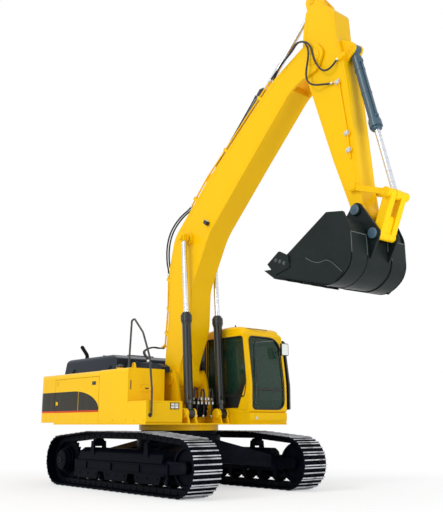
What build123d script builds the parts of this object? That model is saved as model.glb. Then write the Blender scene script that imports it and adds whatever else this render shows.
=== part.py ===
"""Crawler excavator, full size, as an assembly of separate pieces.

Millimetres. +X points forward along the tracks, +Y to the left (the cab's side), +Z up.
The origin is on the ground under the slewing axis.
"""
import os
from math import atan2, cos, hypot, pi, radians, sin, tan

from build123d import *

# Undercarriage
track_gauge = 2600
wheel_base = 4060
shoe_width = 600
shoe_plate = 14
grouser_height = 28
shoe_pitch = 203
rail_height = 104
rail_width = 44
rail_spacing = 140
idler_radius = 354
idler_hub_radius = 105
carrier_x = 920
carrier_radius = 78
carrier_axle_z = 866
roller_radius = 88
roller_count = 8
roller_collar = 48
frame_beam_width = 330
frame_beam_bottom = 335
frame_beam_top = 640
frame_slope = 110
drive_ring_radius = 250
drive_hub_radius = 190
sprocket_teeth = 25
sprocket_half_width = 32
carbody_radius = 900
carbody_bottom = 440
carbody_top = 1010
leg_inner_top = 950
leg_outer_front = 1500
leg_outer_rear = 780
guide_thickness = 36

# Slewing bearing and upper frame
ring_radius = 800
ring_width = 190
ring_bottom_z = 1010
ring_split_z = 1100
ring_gap = 0.5
deck_z = 1210
deck_plate = 26
deck_half_width = 1490
deck_rear_x = -2480
deck_front_x = 1000
skirt_top_z = 1470
panel_wall = 40
panel_gap = 6
shoulder_radius = 110
hinge_pin_radius = 8
hinge_inset = 15
hinge_pin_depth = 26
body_top_z = 2270
girder_inner_y = 350
girder_plate = 45
girder_rear_x = -1150
engine_seat_z = 1480
engine_length = 1050
engine_half_width = 600
engine_top_z = 2200

# Counterweight and engine hood
counterweight_rear_x = -3400
counterweight_bottom_z = 1250
counterweight_corner = 300
hood_top_z = 2660
hood_front_x = -900
hood_rear_x = -3100
hood_half_width = 950
hood_wall = 40
exhaust_x = -2640
exhaust_y = -640
exhaust_radius = 42
exhaust_wall = 5

# Tank and step box on the right side
tank_front_x = 357
tank_rear_x = -670
tank_inner_y = 640
tank_corner = 60
step_front_x = 970
step_top_z = 1640
step_wall = 36
lid_thickness = 30
lamp_width = 200
lamp_height = 120
lamp_z = 1550
rail_tube_radius = 19

# Cab
cab_front_x = 1550
cab_rear_x = -150
cab_right_y = 540
cab_width = 1000
cab_floor_z = 1440
cab_roof_z = 3060
cab_wall = 50
cab_knee_z = 2000
cab_lean = 130
cab_roof_corner = 110
glass_thickness = 6
windscreen_bar_z = 1890
door_rear_x = 420
door_ajar = 14

# Operator's seat
seat_y = 1040
seat_rear_x = 350
seat_width = 480
seat_height = 460
console_height = 560

# Boom: its two pins and the shape of its box
boom_foot_x = 200
boom_foot_z = 2100
boom_length = 6760
boom_raise = 54.45
boom_half_width = 250
boom_foot_radius = 160
boom_back_v = 1475
fork_plate = 42
fork_depth = 700
pipe_radius = 17
pipe_lift = 110

# Arm, from the boom's tip to the bucket pin
arm_length = 3139
arm_drop = -74.86
arm_half_width = 200
arm_boss_radius = 170
arm_end_radius = 140
arm_rear_u = -1000
arm_face_v = 545
arm_slot_depth = 230

# Bucket
bucket_width = 1400
bucket_wall = 28
bucket_depth = 1090
tooth_reach = 1892
tooth_aim = -155.75
tooth_count = 5
tooth_width = 100
ear_inner_y = 212
ear_plate = 40
ear_boss_radius = 92

# Cylinders: pins, bores and lengths along the axis
boom_cylinder_y = 405
boom_cylinder_foot_x = 850
boom_cylinder_foot_z = 1420
boom_cylinder_eye_u = 2548
boom_cylinder_eye_v = 1304
boom_cylinder_radius = 88
boom_rod_radius = 52
boom_barrel_length = 1950
boom_cylinder_closed = 2125
arm_cylinder_foot_u = 3796
arm_cylinder_lift = 128
arm_cylinder_overhang = 206
arm_cylinder_eye_v = 212
arm_cylinder_radius = 98
arm_rod_radius = 55
arm_barrel_length = 2130
arm_cylinder_closed = 2340
bucket_cylinder_foot_u = 268
bucket_cylinder_lift = 139
bucket_cylinder_radius = 86
bucket_rod_radius = 48
bucket_barrel_length = 1640
bucket_cylinder_closed = 1912
barrel_wall = 18
gland_length = 160
eye_half_width = 70
eye_neck = 210
eye_play = 6
pin_radius = 50
lug_plate = 44
running_gap = 0.3

# Bucket linkage: pins and link lengths
idler_pivot_setback = 410
idler_pivot_v = 44
idler_link_length = 701
power_link_length = 675
bucket_link_u = -116
bucket_link_v = 546
link_radius = 78
link_neck = 48
link_cap = 243

# Hoses
hose_radius = 17
hose_side_y = 290

os.makedirs("parts", exist_ok=True)


def turn(origin, angle, u, v):
    """The (x, z) of a point u along a line at this angle from its origin, and v to its left."""
    c, s = cos(radians(angle)), sin(radians(angle))
    return (origin[0] + u * c - v * s, origin[1] + u * s + v * c)


boom_foot = (boom_foot_x, boom_foot_z)


def on_boom(u, v):
    """u runs from the foot pin to the tip pin, v towards the boom's back."""
    return turn(boom_foot, boom_raise, u, v)


boom_tip = on_boom(boom_length, 0)


def on_arm(u, v):
    """u runs from the boom's tip to the bucket pin, v towards the arm's front."""
    return turn(boom_tip, arm_drop, u, v)


bucket_pin = on_arm(arm_length, 0)


def on_bucket(u, v):
    """u runs from the bucket pin to the tooth tips, v towards the rounded floor."""
    return turn(bucket_pin, tooth_aim, u, v)


def meeting_point(first, first_length, second, second_length):
    """Where two links of given lengths from two pins meet, on the outer side of the arm."""
    span = hypot(second[0] - first[0], second[1] - first[1])
    share = (first_length ** 2 - second_length ** 2 + span ** 2) / (2 * span)
    height = (first_length ** 2 - share ** 2) ** 0.5
    along_x, along_z = (second[0] - first[0]) / span, (second[1] - first[1]) / span
    return (first[0] + share * along_x - height * along_z, first[1] + share * along_z + height * along_x)


boom_cylinder_foot = (boom_cylinder_foot_x, boom_cylinder_foot_z)
boom_cylinder_eye = on_boom(boom_cylinder_eye_u, boom_cylinder_eye_v)
arm_cylinder_foot_v = boom_back_v + arm_cylinder_lift
arm_cylinder_foot = on_boom(arm_cylinder_foot_u, arm_cylinder_foot_v)
arm_cylinder_eye_u = arm_rear_u - arm_cylinder_overhang
arm_cylinder_eye = on_arm(arm_cylinder_eye_u, arm_cylinder_eye_v)
bucket_cylinder_foot_v = arm_face_v + bucket_cylinder_lift
bucket_cylinder_foot = on_arm(bucket_cylinder_foot_u, bucket_cylinder_foot_v)
idler_pivot = on_arm(arm_length - idler_pivot_setback, idler_pivot_v)
bucket_link_pin = on_bucket(bucket_link_u, bucket_link_v)
linkage_pin = meeting_point(idler_pivot, idler_link_length, bucket_link_pin, power_link_length)
lug_inner = eye_half_width + running_gap
lug_outer = lug_inner + lug_plate


def span_of(a, b):
    """Two bounds in rising order."""
    return (min(a, b), max(a, b))


def fitted_radii(corners):
    """Each corner's radius, made smaller where a side is too short for the bends at its ends."""
    count = len(corners)
    ends = corners[1:] + corners[:1]
    runs = [(end[0] - start[0], end[1] - start[1]) for start, end in zip(corners, ends)]
    headings = [atan2(rise, run) for run, rise in runs]
    tangents = []
    for k, corner in enumerate(corners):
        bend = abs((headings[k] - headings[k - 1] + pi) % (2 * pi) - pi)
        tangents.append(corner[2] * tan(bend / 2) + running_gap)
    shares = [min(1, 0.95 * hypot(*runs[k]) / (tangents[k] + tangents[(k + 1) % count]))
              for k in range(count)]
    return [corner[2] * min(shares[k - 1], shares[k]) for k, corner in enumerate(corners)]


def slab(outline, y_from, y_to):
    """A flat piece cut to an (x, z) outline, from one y to another."""
    with BuildPart() as piece:
        with BuildSketch(Plane.XZ.offset(-y_from)):
            with BuildLine():
                Polyline(*outline, close=True)
            make_face()
        extrude(amount=y_from - y_to)
    return piece.part


def soft_slab(corners, y_from, y_to):
    """A slab whose corners are rounded: each row is (x, z, radius)."""
    with BuildPart() as piece:
        with BuildSketch(Plane.XZ.offset(-y_from)):
            with BuildLine():
                FilletPolyline(*[(x, z) for x, z, _ in corners], radius=fitted_radii(corners), close=True)
            make_face()
        extrude(amount=y_from - y_to)
    return piece.part


def soft_prism(corners, x_from, x_to):
    """A bar along the machine with a rounded (y, z) outline: each row is (y, z, radius)."""
    with BuildPart() as piece:
        with BuildSketch(Plane.YZ.offset(x_from)):
            with BuildLine():
                FilletPolyline(*[(y, z) for y, z, _ in corners], radius=fitted_radii(corners), close=True)
            make_face()
        extrude(amount=x_to - x_from)
    return piece.part


def floor_plate(outline, z_from, z_to):
    """A flat piece cut to an (x, y) outline, from one z to another."""
    with BuildPart() as piece:
        with BuildSketch(Plane.XY.offset(z_from)):
            with BuildLine():
                Polyline(*outline, close=True)
            make_face()
        extrude(amount=z_to - z_from)
    return piece.part


def block(x, y, z):
    """A box given by its (from, to) along each axis."""
    with BuildPart() as piece:
        with Locations(((x[0] + x[1]) / 2, (y[0] + y[1]) / 2, (z[0] + z[1]) / 2)):
            Box(x[1] - x[0], y[1] - y[0], z[1] - z[0])
    return piece.part


def drum(centre, radius, y_from, y_to):
    """A cylinder across the machine, about an (x, z) centre."""
    low, high = span_of(y_from, y_to)
    with BuildPart() as piece:
        with BuildSketch(Plane.XZ.offset(-low)):
            with Locations(centre):
                Circle(radius)
        extrude(amount=low - high)
    return piece.part


def post(x, y, z_from, z_to, radius):
    """An upright cylinder."""
    with BuildPart() as piece:
        with Locations((x, y, z_from)):
            Cylinder(radius, z_to - z_from, align=(Align.CENTER, Align.CENTER, Align.MIN))
    return piece.part


def link_plate(ends, radii, y_from, y_to):
    """A plate with round ends, tangent between them."""
    low, high = span_of(y_from, y_to)
    with BuildPart() as piece:
        with BuildSketch(Plane.XZ.offset(-low)):
            for end, radius in zip(ends, radii):
                with Locations(end):
                    Circle(radius)
            make_hull()
        extrude(amount=low - high)
    return piece.part


def along(start, end, y, sections):
    """A turned piece on the line between two (x, z) points: sections are (from, to, radius)."""
    span = hypot(end[0] - start[0], end[1] - start[1])
    direction = ((end[0] - start[0]) / span, 0, (end[1] - start[1]) / span)
    with BuildPart() as piece:
        for near, far, radius in sections:
            at = (start[0] + direction[0] * near, y, start[1] + direction[2] * near)
            with BuildSketch(Plane(origin=at, x_dir=(0, 1, 0), z_dir=direction)):
                Circle(radius)
            extrude(amount=far - near)
    return piece.part


def fitted_bends(points, radii):
    """Each bend's radius on an open path, made smaller where a run is too short for its two bends."""
    runs = [Vector(*end) - Vector(*start) for start, end in zip(points, points[1:])]
    bends = [radians(go.get_angle(come)) for come, go in zip(runs, runs[1:])]
    tangents = [0] + [radius * tan(bend / 2) for radius, bend in zip(radii, bends)] + [0]
    shares = [min(1, 0.95 * run.length / (near + far + running_gap))
              for run, near, far in zip(runs, tangents, tangents[1:])]
    return [radius * min(near, far) for radius, near, far in zip(radii, shares, shares[1:])]


def tube(points, radii, radius):
    """A round bar along straight runs joined by arcs."""
    with BuildPart() as piece:
        with BuildLine():
            path = FilletPolyline(*points, radius=fitted_bends(points, radii))
        with BuildSketch(Plane(origin=path @ 0, z_dir=path % 0)):
            Circle(radius)
        sweep()
    return piece.part


def save(piece, name):
    piece.label = name
    export_step(piece, f"parts/{name}.step")


# Track run: a belt around the sprocket, the idler and the two carrier rollers
pin_height = rail_height * 0.6
chord_gap = 4
wheel_x = wheel_base / 2
wheel_z = idler_radius + rail_height + shoe_plate + grouser_height
belt_wheels = [
    (wheel_x, wheel_z, idler_radius + pin_height),
    (carrier_x, carrier_axle_z, carrier_radius + pin_height),
    (-carrier_x, carrier_axle_z, carrier_radius + pin_height),
    (-wheel_x, wheel_z, idler_radius + pin_height),
]


def belt_runs():
    """The belt as straight runs and arcs, in order: (length, point at a distance along it)."""
    count = len(belt_wheels)
    leave = []
    for k, (x, z, r) in enumerate(belt_wheels):
        x2, z2, r2 = belt_wheels[(k + 1) % count]
        line = atan2(z2 - z, x2 - x)
        lean = (r - r2) / hypot(x2 - x, z2 - z)
        leave.append(line - pi / 2 + lean)
    runs = []
    for k, (x, z, r) in enumerate(belt_wheels):
        start, end = leave[k - 1], leave[k]
        while end < start:
            end += 2 * pi
        runs.append((r * (end - start), "arc", (x, z), r, start))
        x2, z2, r2 = belt_wheels[(k + 1) % count]
        first = (x + r * cos(end), z + r * sin(end))
        last = (x2 + r2 * cos(end), z2 + r2 * sin(end))
        runs.append((hypot(last[0] - first[0], last[1] - first[1]), "line", first, last, end))
    return runs


track_runs = belt_runs()
belt_length = sum(run[0] for run in track_runs)
shoe_count = round(belt_length / shoe_pitch)
shoe_step = belt_length / shoe_count
idler_tread = idler_radius * cos(shoe_step / (idler_radius + pin_height) / 2) - running_gap


def belt_point(distance, outwards):
    """The (x, z) at a distance along the pin line, moved outwards from it."""
    distance = distance % belt_length
    for length, kind, a, b, angle in track_runs:
        if distance <= length:
            break
        distance -= length
    if kind == "arc":
        angle += distance / b
        reach = b + outwards
        return (a[0] + reach * cos(angle), a[1] + reach * sin(angle))
    share = distance / length
    x = a[0] + (b[0] - a[0]) * share + outwards * cos(angle)
    return (x, a[1] + (b[1] - a[1]) * share + outwards * sin(angle))


# One shoe's outline along the belt: (share of its pitch, height over the plate's face)
shoe_outline = [
    (0.02, -shoe_plate / 2),
    (0.05, 0),
    (0.12, grouser_height),
    (0.17, 0),
    (0.47, 0),
    (0.52, grouser_height * 0.8),
    (0.57, 0),
    (0.87, 0),
    (0.92, grouser_height * 0.8),
    (0.97, 0),
]


def make_track(name, centre_y):
    shoe_face = rail_height - pin_height + shoe_plate
    outer = [belt_point((k + share) * shoe_step, shoe_face + lift)
             for k in range(shoe_count) for share, lift in shoe_outline]
    inner = [belt_point(k * shoe_step, shoe_face - shoe_plate) for k in range(shoe_count)]
    rail = [belt_point(k * shoe_step, -pin_height) for k in range(shoe_count)]
    with BuildPart() as track:
        add(slab(outer, centre_y - shoe_width / 2, centre_y + shoe_width / 2))
        add(slab(inner, centre_y - shoe_width / 2, centre_y + shoe_width / 2), mode=Mode.SUBTRACT)
        for side in (-1, 1):
            middle = centre_y + side * rail_spacing / 2
            with BuildSketch(Plane.XZ.offset(-(middle - rail_width / 2))):
                with BuildLine():
                    Polyline(*inner, close=True)
                make_face()
                with BuildLine():
                    Polyline(*rail, close=True)
                make_face(mode=Mode.SUBTRACT)
            extrude(amount=-rail_width)
    save(track.part, name)


tread_half = (rail_spacing + rail_width) / 2


def make_track_frame(name, centre_y, inward):
    """Box beam with a sloping outer edge, an idler yoke in front and a drive ring behind."""
    beam_front = wheel_x - idler_radius - 60
    beam_rear = -wheel_x + 480
    outer = centre_y - inward * frame_beam_width / 2
    inner = centre_y + inward * frame_beam_width / 2
    with BuildPart() as frame:
        with BuildSketch(Plane.YZ.offset(beam_rear)):
            with BuildLine():
                Polyline(
                    (outer, frame_beam_bottom),
                    (inner, frame_beam_bottom),
                    (inner, frame_beam_top),
                    (centre_y, frame_beam_top),
                    (outer, frame_beam_top - frame_slope),
                    close=True,
                )
            make_face()
        extrude(amount=beam_front - beam_rear)
        for side in (-1, 1):
            near = centre_y + side * (tread_half + 15)
            low, high = span_of(near, near + side * guide_thickness)
            add(soft_slab(
                [
                    (beam_front - 40, wheel_z - 140, 5),
                    (wheel_x + 60, wheel_z - 100, 60),
                    (wheel_x + 110, wheel_z, 80),
                    (wheel_x + 60, wheel_z + 90, 60),
                    (beam_front - 40, wheel_z + 90, 5),
                ],
                low, high))
            for x in (carrier_x, -carrier_x):
                add(slab(
                    [
                        (x - 90, frame_beam_top - frame_slope - 20),
                        (x + 90, frame_beam_top - frame_slope - 20),
                        (x + 45, carrier_axle_z + 30),
                        (x - 45, carrier_axle_z + 30),
                    ],
                    low, high))
        ring_low, ring_high = span_of(centre_y + inward * 60, centre_y + inward * 120)
        add(drum((-wheel_x, wheel_z), drive_ring_radius, ring_low, ring_high))
        add(block((-wheel_x, beam_rear + 30), (ring_low, ring_high), (wheel_z - 165, wheel_z + 140)))
        add(drum((-wheel_x, wheel_z), drive_hub_radius + running_gap, ring_low - 5, ring_high + 5),
            mode=Mode.SUBTRACT)
    save(frame.part, name)


def idler_wheel(centre_y):
    """Front wheel: two treads under the rails, a guide flange between them and dished sides."""
    flange_half = (rail_spacing - rail_width) / 2 - 8
    centre = (wheel_x, wheel_z)
    with BuildPart() as wheel:
        add(drum(centre, idler_tread, centre_y - tread_half, centre_y + tread_half))
        add(drum(centre, idler_radius + 22, centre_y - flange_half, centre_y + flange_half))
        for side in (-1, 1):
            face = centre_y + side * tread_half
            add(drum(centre, idler_radius - 50, face, face - side * 40), mode=Mode.SUBTRACT)
            add(drum(centre, idler_hub_radius, centre_y, face + side * 14.5))
    return wheel.part


def make_final_drive(name, centre_y, inward):
    """Travel motor, gearbox drum and the toothed sprocket between the rails."""
    tooth_tip = idler_radius + pin_height + 26
    tooth_root = idler_radius + pin_height - 26
    with BuildPart() as drive:
        with BuildSketch(Plane.XZ.offset(-(centre_y - sprocket_half_width))):
            with BuildLine():
                Polyline(
                    *[
                        (-wheel_x + r * cos(a), wheel_z + r * sin(a))
                        for k in range(sprocket_teeth)
                        for r, a in (
                            (tooth_root, 2 * pi * (k + 0.02) / sprocket_teeth),
                            (tooth_tip, 2 * pi * (k + 0.34) / sprocket_teeth),
                            (tooth_tip, 2 * pi * (k + 0.58) / sprocket_teeth),
                            (tooth_root, 2 * pi * (k + 0.90) / sprocket_teeth),
                        )
                    ],
                    close=True,
                )
            make_face()
        extrude(amount=-2 * sprocket_half_width)
        for radius, start, end in (
            (drive_hub_radius, sprocket_half_width, 260),
            (270, -sprocket_half_width, -90),
            (240, -90, -150),
            (200, -150, -205),
        ):
            add(drum((-wheel_x, wheel_z), radius, centre_y + inward * start, centre_y + inward * end))
    save(drive.part, name)


def make_wheels(name, centre_y):
    """The idler, the bottom rollers in their collars and the two carrier rollers under the top run."""
    first, last = -wheel_x + 520, wheel_x - 470
    step = (last - first) / (roller_count - 1)
    roller_z = shoe_plate + grouser_height + rail_height + roller_radius
    collar = tread_half + 3
    with BuildPart() as wheels:
        add(idler_wheel(centre_y))
        for k in range(roller_count):
            x = first + k * step
            add(drum((x, roller_z), roller_radius - running_gap, centre_y - collar, centre_y + collar))
            for side in (-1, 1):
                low, high = span_of(centre_y + side * collar, centre_y + side * (collar + roller_collar))
                add(block((x - 55, x + 55), (low, high), (roller_z - 45, frame_beam_bottom)))
        for x in (carrier_x, -carrier_x):
            centre = (x, carrier_axle_z)
            add(drum(centre, carrier_radius - chord_gap, centre_y - tread_half, centre_y + tread_half))
            add(drum(centre, 30, centre_y - tread_half - 15, centre_y + tread_half + 15))
    save(wheels.part, name)


for side_name, side in (("right", -1), ("left", 1)):
    track_y = side * track_gauge / 2
    make_track(f"track_{side_name}", track_y)
    make_track_frame(f"track_frame_{side_name}", track_y, -side)
    make_wheels(f"track_wheels_{side_name}", track_y)
    make_final_drive(f"final_drive_{side_name}", track_y, -side)

# Carbody: a centre drum and four legs that fall away to the track frames
leg_outer_y = (track_gauge - frame_beam_width) / 2
leg_inner = (100, 700, carbody_bottom + 60, leg_inner_top)
leg_outer = (leg_outer_rear, leg_outer_front, carbody_bottom - 40, frame_beam_top)
drum_radius = carbody_radius - 180
tow_eye_x = 930
tow_eye_z = 560
tow_eye_radius = 35
tow_eye_edge = 72
tow_root_half = 130
tow_plate = 50
with BuildPart() as carbody:
    for sx in (-1, 1):
        for sy in (-1, 1):
            for (near, far, low, high), y in ((leg_inner, 300), (leg_outer, leg_outer_y)):
                with BuildSketch(Plane.XZ.offset(-sy * y)):
                    with BuildLine():
                        Polyline((sx * near, low), (sx * far, low), (sx * far, high), (sx * near, high), close=True)
                    make_face()
            loft()
    with BuildSketch(Plane.XY.offset(carbody_bottom)):
        Circle(drum_radius)
    extrude(amount=frame_beam_top - carbody_bottom)
    with BuildSketch(Plane.XY.offset(frame_beam_top)):
        Circle(carbody_radius - 60)
    extrude(amount=carbody_top - frame_beam_top)
save(carbody.part, "carbody")

# Tow eyes, one flat tongue at each end of the carbody's drum, bored from below for a shackle's pin
with BuildPart() as tow_eyes:
    with BuildSketch(Plane.XY.offset(tow_eye_z - tow_plate / 2)):
        for sx in (-1, 1):
            with BuildLine():
                Polyline(
                    (sx * drum_radius * 0.9, -tow_root_half),
                    (sx * tow_eye_x, -tow_eye_edge),
                    (sx * tow_eye_x, tow_eye_edge),
                    (sx * drum_radius * 0.9, tow_root_half),
                    close=True)
            make_face()
            with Locations((sx * tow_eye_x, 0)):
                Circle(tow_eye_edge)
        Circle(drum_radius + running_gap, mode=Mode.SUBTRACT)
        with Locations((-tow_eye_x, 0), (tow_eye_x, 0)):
            Circle(tow_eye_radius, mode=Mode.SUBTRACT)
    extrude(amount=tow_plate)
save(tow_eyes.part, "tow_eyes")

# Slewing bearing: the lower race stays with the tracks, the upper one turns
with BuildPart() as lower_ring:
    with BuildSketch(Plane.XY.offset(ring_bottom_z)):
        Circle(ring_radius - 40)
        Circle(ring_radius - ring_width, mode=Mode.SUBTRACT)
    extrude(amount=ring_split_z - ring_bottom_z)
save(lower_ring.part, "slew_ring_lower")

with BuildPart() as upper_ring:
    with BuildSketch(Plane.XY.offset(ring_split_z + ring_gap)):
        Circle(ring_radius)
        Circle(ring_radius - ring_width, mode=Mode.SUBTRACT)
    extrude(amount=deck_z - ring_split_z - ring_gap)
save(upper_ring.part, "slew_ring_upper")

# Upper frame: deck plate, two girders with the boom bracket, cylinder lugs and the cab's platform
left_wall_y = cab_right_y + cab_width
girder_outline = [
    (deck_rear_x, deck_z + deck_plate),
    (deck_rear_x, engine_seat_z),
    (girder_rear_x, engine_seat_z),
    (boom_foot_x - 240, boom_foot_z + 60),
    (boom_foot_x - 120, boom_foot_z + 190),
    (boom_foot_x + 120, boom_foot_z + 190),
    (boom_foot_x + 215, boom_foot_z + 40),
    (boom_foot_x + 330, boom_foot_z - 420),
    (boom_cylinder_foot_x - 230, deck_z + 160),
    (boom_cylinder_foot_x - 150, deck_z + deck_plate),
]
platform_top_z = cab_floor_z
with BuildPart() as swing_frame:
    add(floor_plate(
        [
            (deck_rear_x, -deck_half_width),
            (step_front_x, -deck_half_width),
            (step_front_x, -tank_inner_y + 20),
            (deck_front_x, -tank_inner_y + 80),
            (deck_front_x, cab_right_y),
            (cab_front_x, cab_right_y),
            (cab_front_x, left_wall_y),
            (deck_rear_x, left_wall_y),
        ],
        deck_z, deck_z + deck_plate))
    add(soft_slab(
        [
            (cab_rear_x, deck_z, 5),
            (cab_front_x - 40, deck_z, 60),
            (cab_front_x, deck_z + 90, 60),
            (cab_front_x, platform_top_z, 5),
            (cab_rear_x, platform_top_z, 5),
        ],
        cab_right_y, left_wall_y))
    add(block((cab_rear_x + panel_wall, cab_front_x - 2 * panel_wall),
              (cab_right_y + panel_wall, left_wall_y - panel_wall),
              (deck_z - panel_gap, platform_top_z - panel_wall)), mode=Mode.SUBTRACT)
    for side in (-1, 1):
        near, far = side * girder_inner_y, side * (girder_inner_y + girder_plate)
        add(slab(girder_outline, *span_of(near, far)))
        add(drum(boom_foot, 130, far, far + side * 40))
        middle = side * boom_cylinder_y
        add(drum(boom_cylinder_foot, pin_radius, middle - lug_outer, middle + lug_outer))
        for low, high in ((middle + lug_inner, middle + lug_outer), (middle - lug_outer, middle - lug_inner)):
            add(link_plate([boom_cylinder_foot], [95], low, high))
            add(slab(
                [
                    (boom_cylinder_foot_x - 260, deck_z + deck_plate),
                    (boom_cylinder_foot_x - 80, boom_cylinder_foot_z + 60),
                    (boom_cylinder_foot_x + 80, boom_cylinder_foot_z - 40),
                    (deck_front_x - 20, deck_z + deck_plate),
                ],
                low, high))
    add(block((deck_rear_x, hood_front_x), (-girder_inner_y, girder_inner_y),
              (deck_z + deck_plate, engine_seat_z - 30)))
    add(block((boom_foot_x + 180, boom_foot_x + 220), (-girder_inner_y, girder_inner_y),
              (deck_z + deck_plate, engine_seat_z + 60)))
save(swing_frame.part, "swing_frame")

# Counterweight: a cast block, rounded in plan, with a sloping rear face and soft shoulders
with BuildPart() as counterweight:
    with BuildSketch(Plane.XY.offset(counterweight_bottom_z)):
        with BuildLine():
            FilletPolyline(
                (deck_rear_x, -deck_half_width),
                (deck_rear_x, left_wall_y),
                (counterweight_rear_x + 160, left_wall_y),
                (counterweight_rear_x, 500),
                (counterweight_rear_x, -500),
                (counterweight_rear_x + 160, -deck_half_width),
                radius=[5, 5, counterweight_corner, 900, 900, counterweight_corner], close=True)
        make_face()
    extrude(amount=body_top_z - counterweight_bottom_z)
    add(soft_slab(
        [
            (deck_rear_x + 10, counterweight_bottom_z - 10, 5),
            (counterweight_rear_x + 70, counterweight_bottom_z - 10, 90),
            (counterweight_rear_x, counterweight_bottom_z + 330, 400),
            (counterweight_rear_x + 170, body_top_z, 150),
            (deck_rear_x + 10, body_top_z, 5),
        ],
        -deck_half_width - 10, left_wall_y + 10), mode=Mode.INTERSECT)
    add(soft_prism(
        [
            (-deck_half_width, counterweight_bottom_z - 10, 5),
            (left_wall_y, counterweight_bottom_z - 10, 5),
            (left_wall_y, body_top_z, shoulder_radius),
            (-deck_half_width, body_top_z, shoulder_radius),
        ],
        counterweight_rear_x - 10, deck_rear_x + 20), mode=Mode.INTERSECT)
save(counterweight.part, "counterweight")

# Engine, one heavy block on the rear of the upper frame
with BuildPart() as engine:
    add(block((girder_rear_x - 100 - engine_length, girder_rear_x - 100),
              (-engine_half_width, engine_half_width), (engine_seat_z, engine_top_z)))
save(engine.part, "engine_block")

# Body sides: a folded housing behind each door, and the doors with their hinge pins
body_door_rear_x = deck_rear_x + 2 * panel_gap
roof_inner_y = hood_half_width - hood_wall
shoulder_bottom_z = body_top_z - shoulder_radius - panel_gap
sill_z = skirt_top_z - panel_gap


def hinge_pin(y, radius):
    """The pin under a side door's rear corner, or with a larger radius its hole in the sill."""
    return post(body_door_rear_x + hinge_inset, y, skirt_top_z - hinge_pin_depth, skirt_top_z, radius)


def make_housing(name, side, outer_y, front_x, front_roof_y):
    """Skirt, sill, inner wall and roof of one side, with the door opening between skirt and roof."""
    skin = outer_y - side * panel_wall
    wall = side * roof_inner_y
    wall_back = wall - side * panel_wall
    with BuildPart() as housing:
        add(soft_prism(
            [
                (outer_y, deck_z + deck_plate, 2),
                (outer_y, sill_z, 2),
                (wall, sill_z, 2),
                (wall, body_top_z - panel_wall, 2),
                (skin, body_top_z - panel_wall, shoulder_radius - panel_wall),
                (skin, shoulder_bottom_z, 2),
                (outer_y, shoulder_bottom_z, 2),
                (outer_y, body_top_z, shoulder_radius),
                (wall_back, body_top_z, 2),
                (wall_back, sill_z - panel_wall, 2),
                (skin, sill_z - panel_wall, 2),
                (skin, deck_z + deck_plate, 2),
            ],
            deck_rear_x, front_x))
        front = (hood_front_x + panel_gap, front_x)
        reach = span_of(front_roof_y, wall_back + side * 20)
        add(block(front, reach, (body_top_z - panel_wall, body_top_z)))
        add(block(front, reach, (sill_z - panel_wall, sill_z)))
        add(block(front, span_of(front_roof_y, front_roof_y + side * panel_wall), (sill_z - 20, body_top_z)))
        add(hinge_pin(outer_y - side * hinge_inset, hinge_pin_radius + running_gap), mode=Mode.SUBTRACT)
    save(housing.part, name)


def make_body_door(name, side, outer_y, front_x):
    """A door between sill and shoulder, on a pin at its rear lower corner."""
    with BuildPart() as door:
        add(block((body_door_rear_x, front_x - panel_gap), span_of(outer_y, outer_y - side * panel_wall),
                  (skirt_top_z, shoulder_bottom_z - panel_gap)))
        add(hinge_pin(outer_y - side * hinge_inset, hinge_pin_radius))
    save(door.part, name)


tank_seam_x = tank_rear_x - panel_gap
cab_seam_x = cab_rear_x - 60
make_housing("right_housing", -1, -deck_half_width, tank_seam_x, -tank_inner_y - panel_gap)
make_housing("left_housing", 1, left_wall_y, cab_seam_x, girder_inner_y + girder_plate + 25)
make_body_door("right_door", -1, -deck_half_width, tank_seam_x)
make_body_door("left_door", 1, left_wall_y, cab_seam_x)

# Fuel tank with its soft outer edge, filler cap and lifting lug
with BuildPart() as fuel_tank:
    add(soft_prism(
        [
            (-deck_half_width, deck_z + deck_plate, 5),
            (-tank_inner_y, deck_z + deck_plate, 5),
            (-tank_inner_y, body_top_z, 10),
            (-deck_half_width, body_top_z, tank_corner),
        ],
        tank_rear_x, tank_front_x))
    add(post(tank_rear_x + 250, -deck_half_width + 320, body_top_z - 5, body_top_z + 55, 75))
    add(link_plate([(tank_front_x - 90, body_top_z + 60), (tank_front_x - 90, body_top_z)], [45, 60],
                   -deck_half_width + 170, -deck_half_width + 200))
    add(drum((tank_front_x - 90, body_top_z + 60), 22, -deck_half_width + 160, -deck_half_width + 210),
        mode=Mode.SUBTRACT)
save(fuel_tank.part, "fuel_tank")

# Step box in front of the tank, with its lid and the lamp in its front wall
step_inner_y = -tank_inner_y - 20
lamp_y = -850
with BuildPart() as step_box:
    add(soft_slab(
        [
            (tank_front_x, deck_z + deck_plate, 5),
            (step_front_x, deck_z + deck_plate, 40),
            (step_front_x, step_top_z - lid_thickness - running_gap, 5),
            (tank_front_x, step_top_z - lid_thickness - running_gap, 5),
        ],
        -deck_half_width, step_inner_y))
    add(block((tank_front_x + step_wall, step_front_x - step_wall),
              (-deck_half_width + step_wall, step_inner_y - step_wall),
              (deck_z + deck_plate + 30, step_top_z)), mode=Mode.SUBTRACT)
    add(block((step_front_x - 20, step_front_x + 12), (lamp_y - lamp_width / 2, lamp_y + lamp_width / 2),
              (lamp_z - lamp_height / 2, lamp_z + lamp_height / 2)))
    add(block((step_front_x + 2, step_front_x + 20),
              (lamp_y - lamp_width / 2 + 15, lamp_y + lamp_width / 2 - 15),
              (lamp_z - lamp_height / 2 + 15, lamp_z + lamp_height / 2 - 15)), mode=Mode.SUBTRACT)
save(step_box.part, "step_box")

with BuildPart() as step_lid:
    add(block((tank_front_x + panel_gap, step_front_x), (-deck_half_width, step_inner_y),
              (step_top_z - lid_thickness, step_top_z)))
save(step_lid.part, "step_lid")

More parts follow.
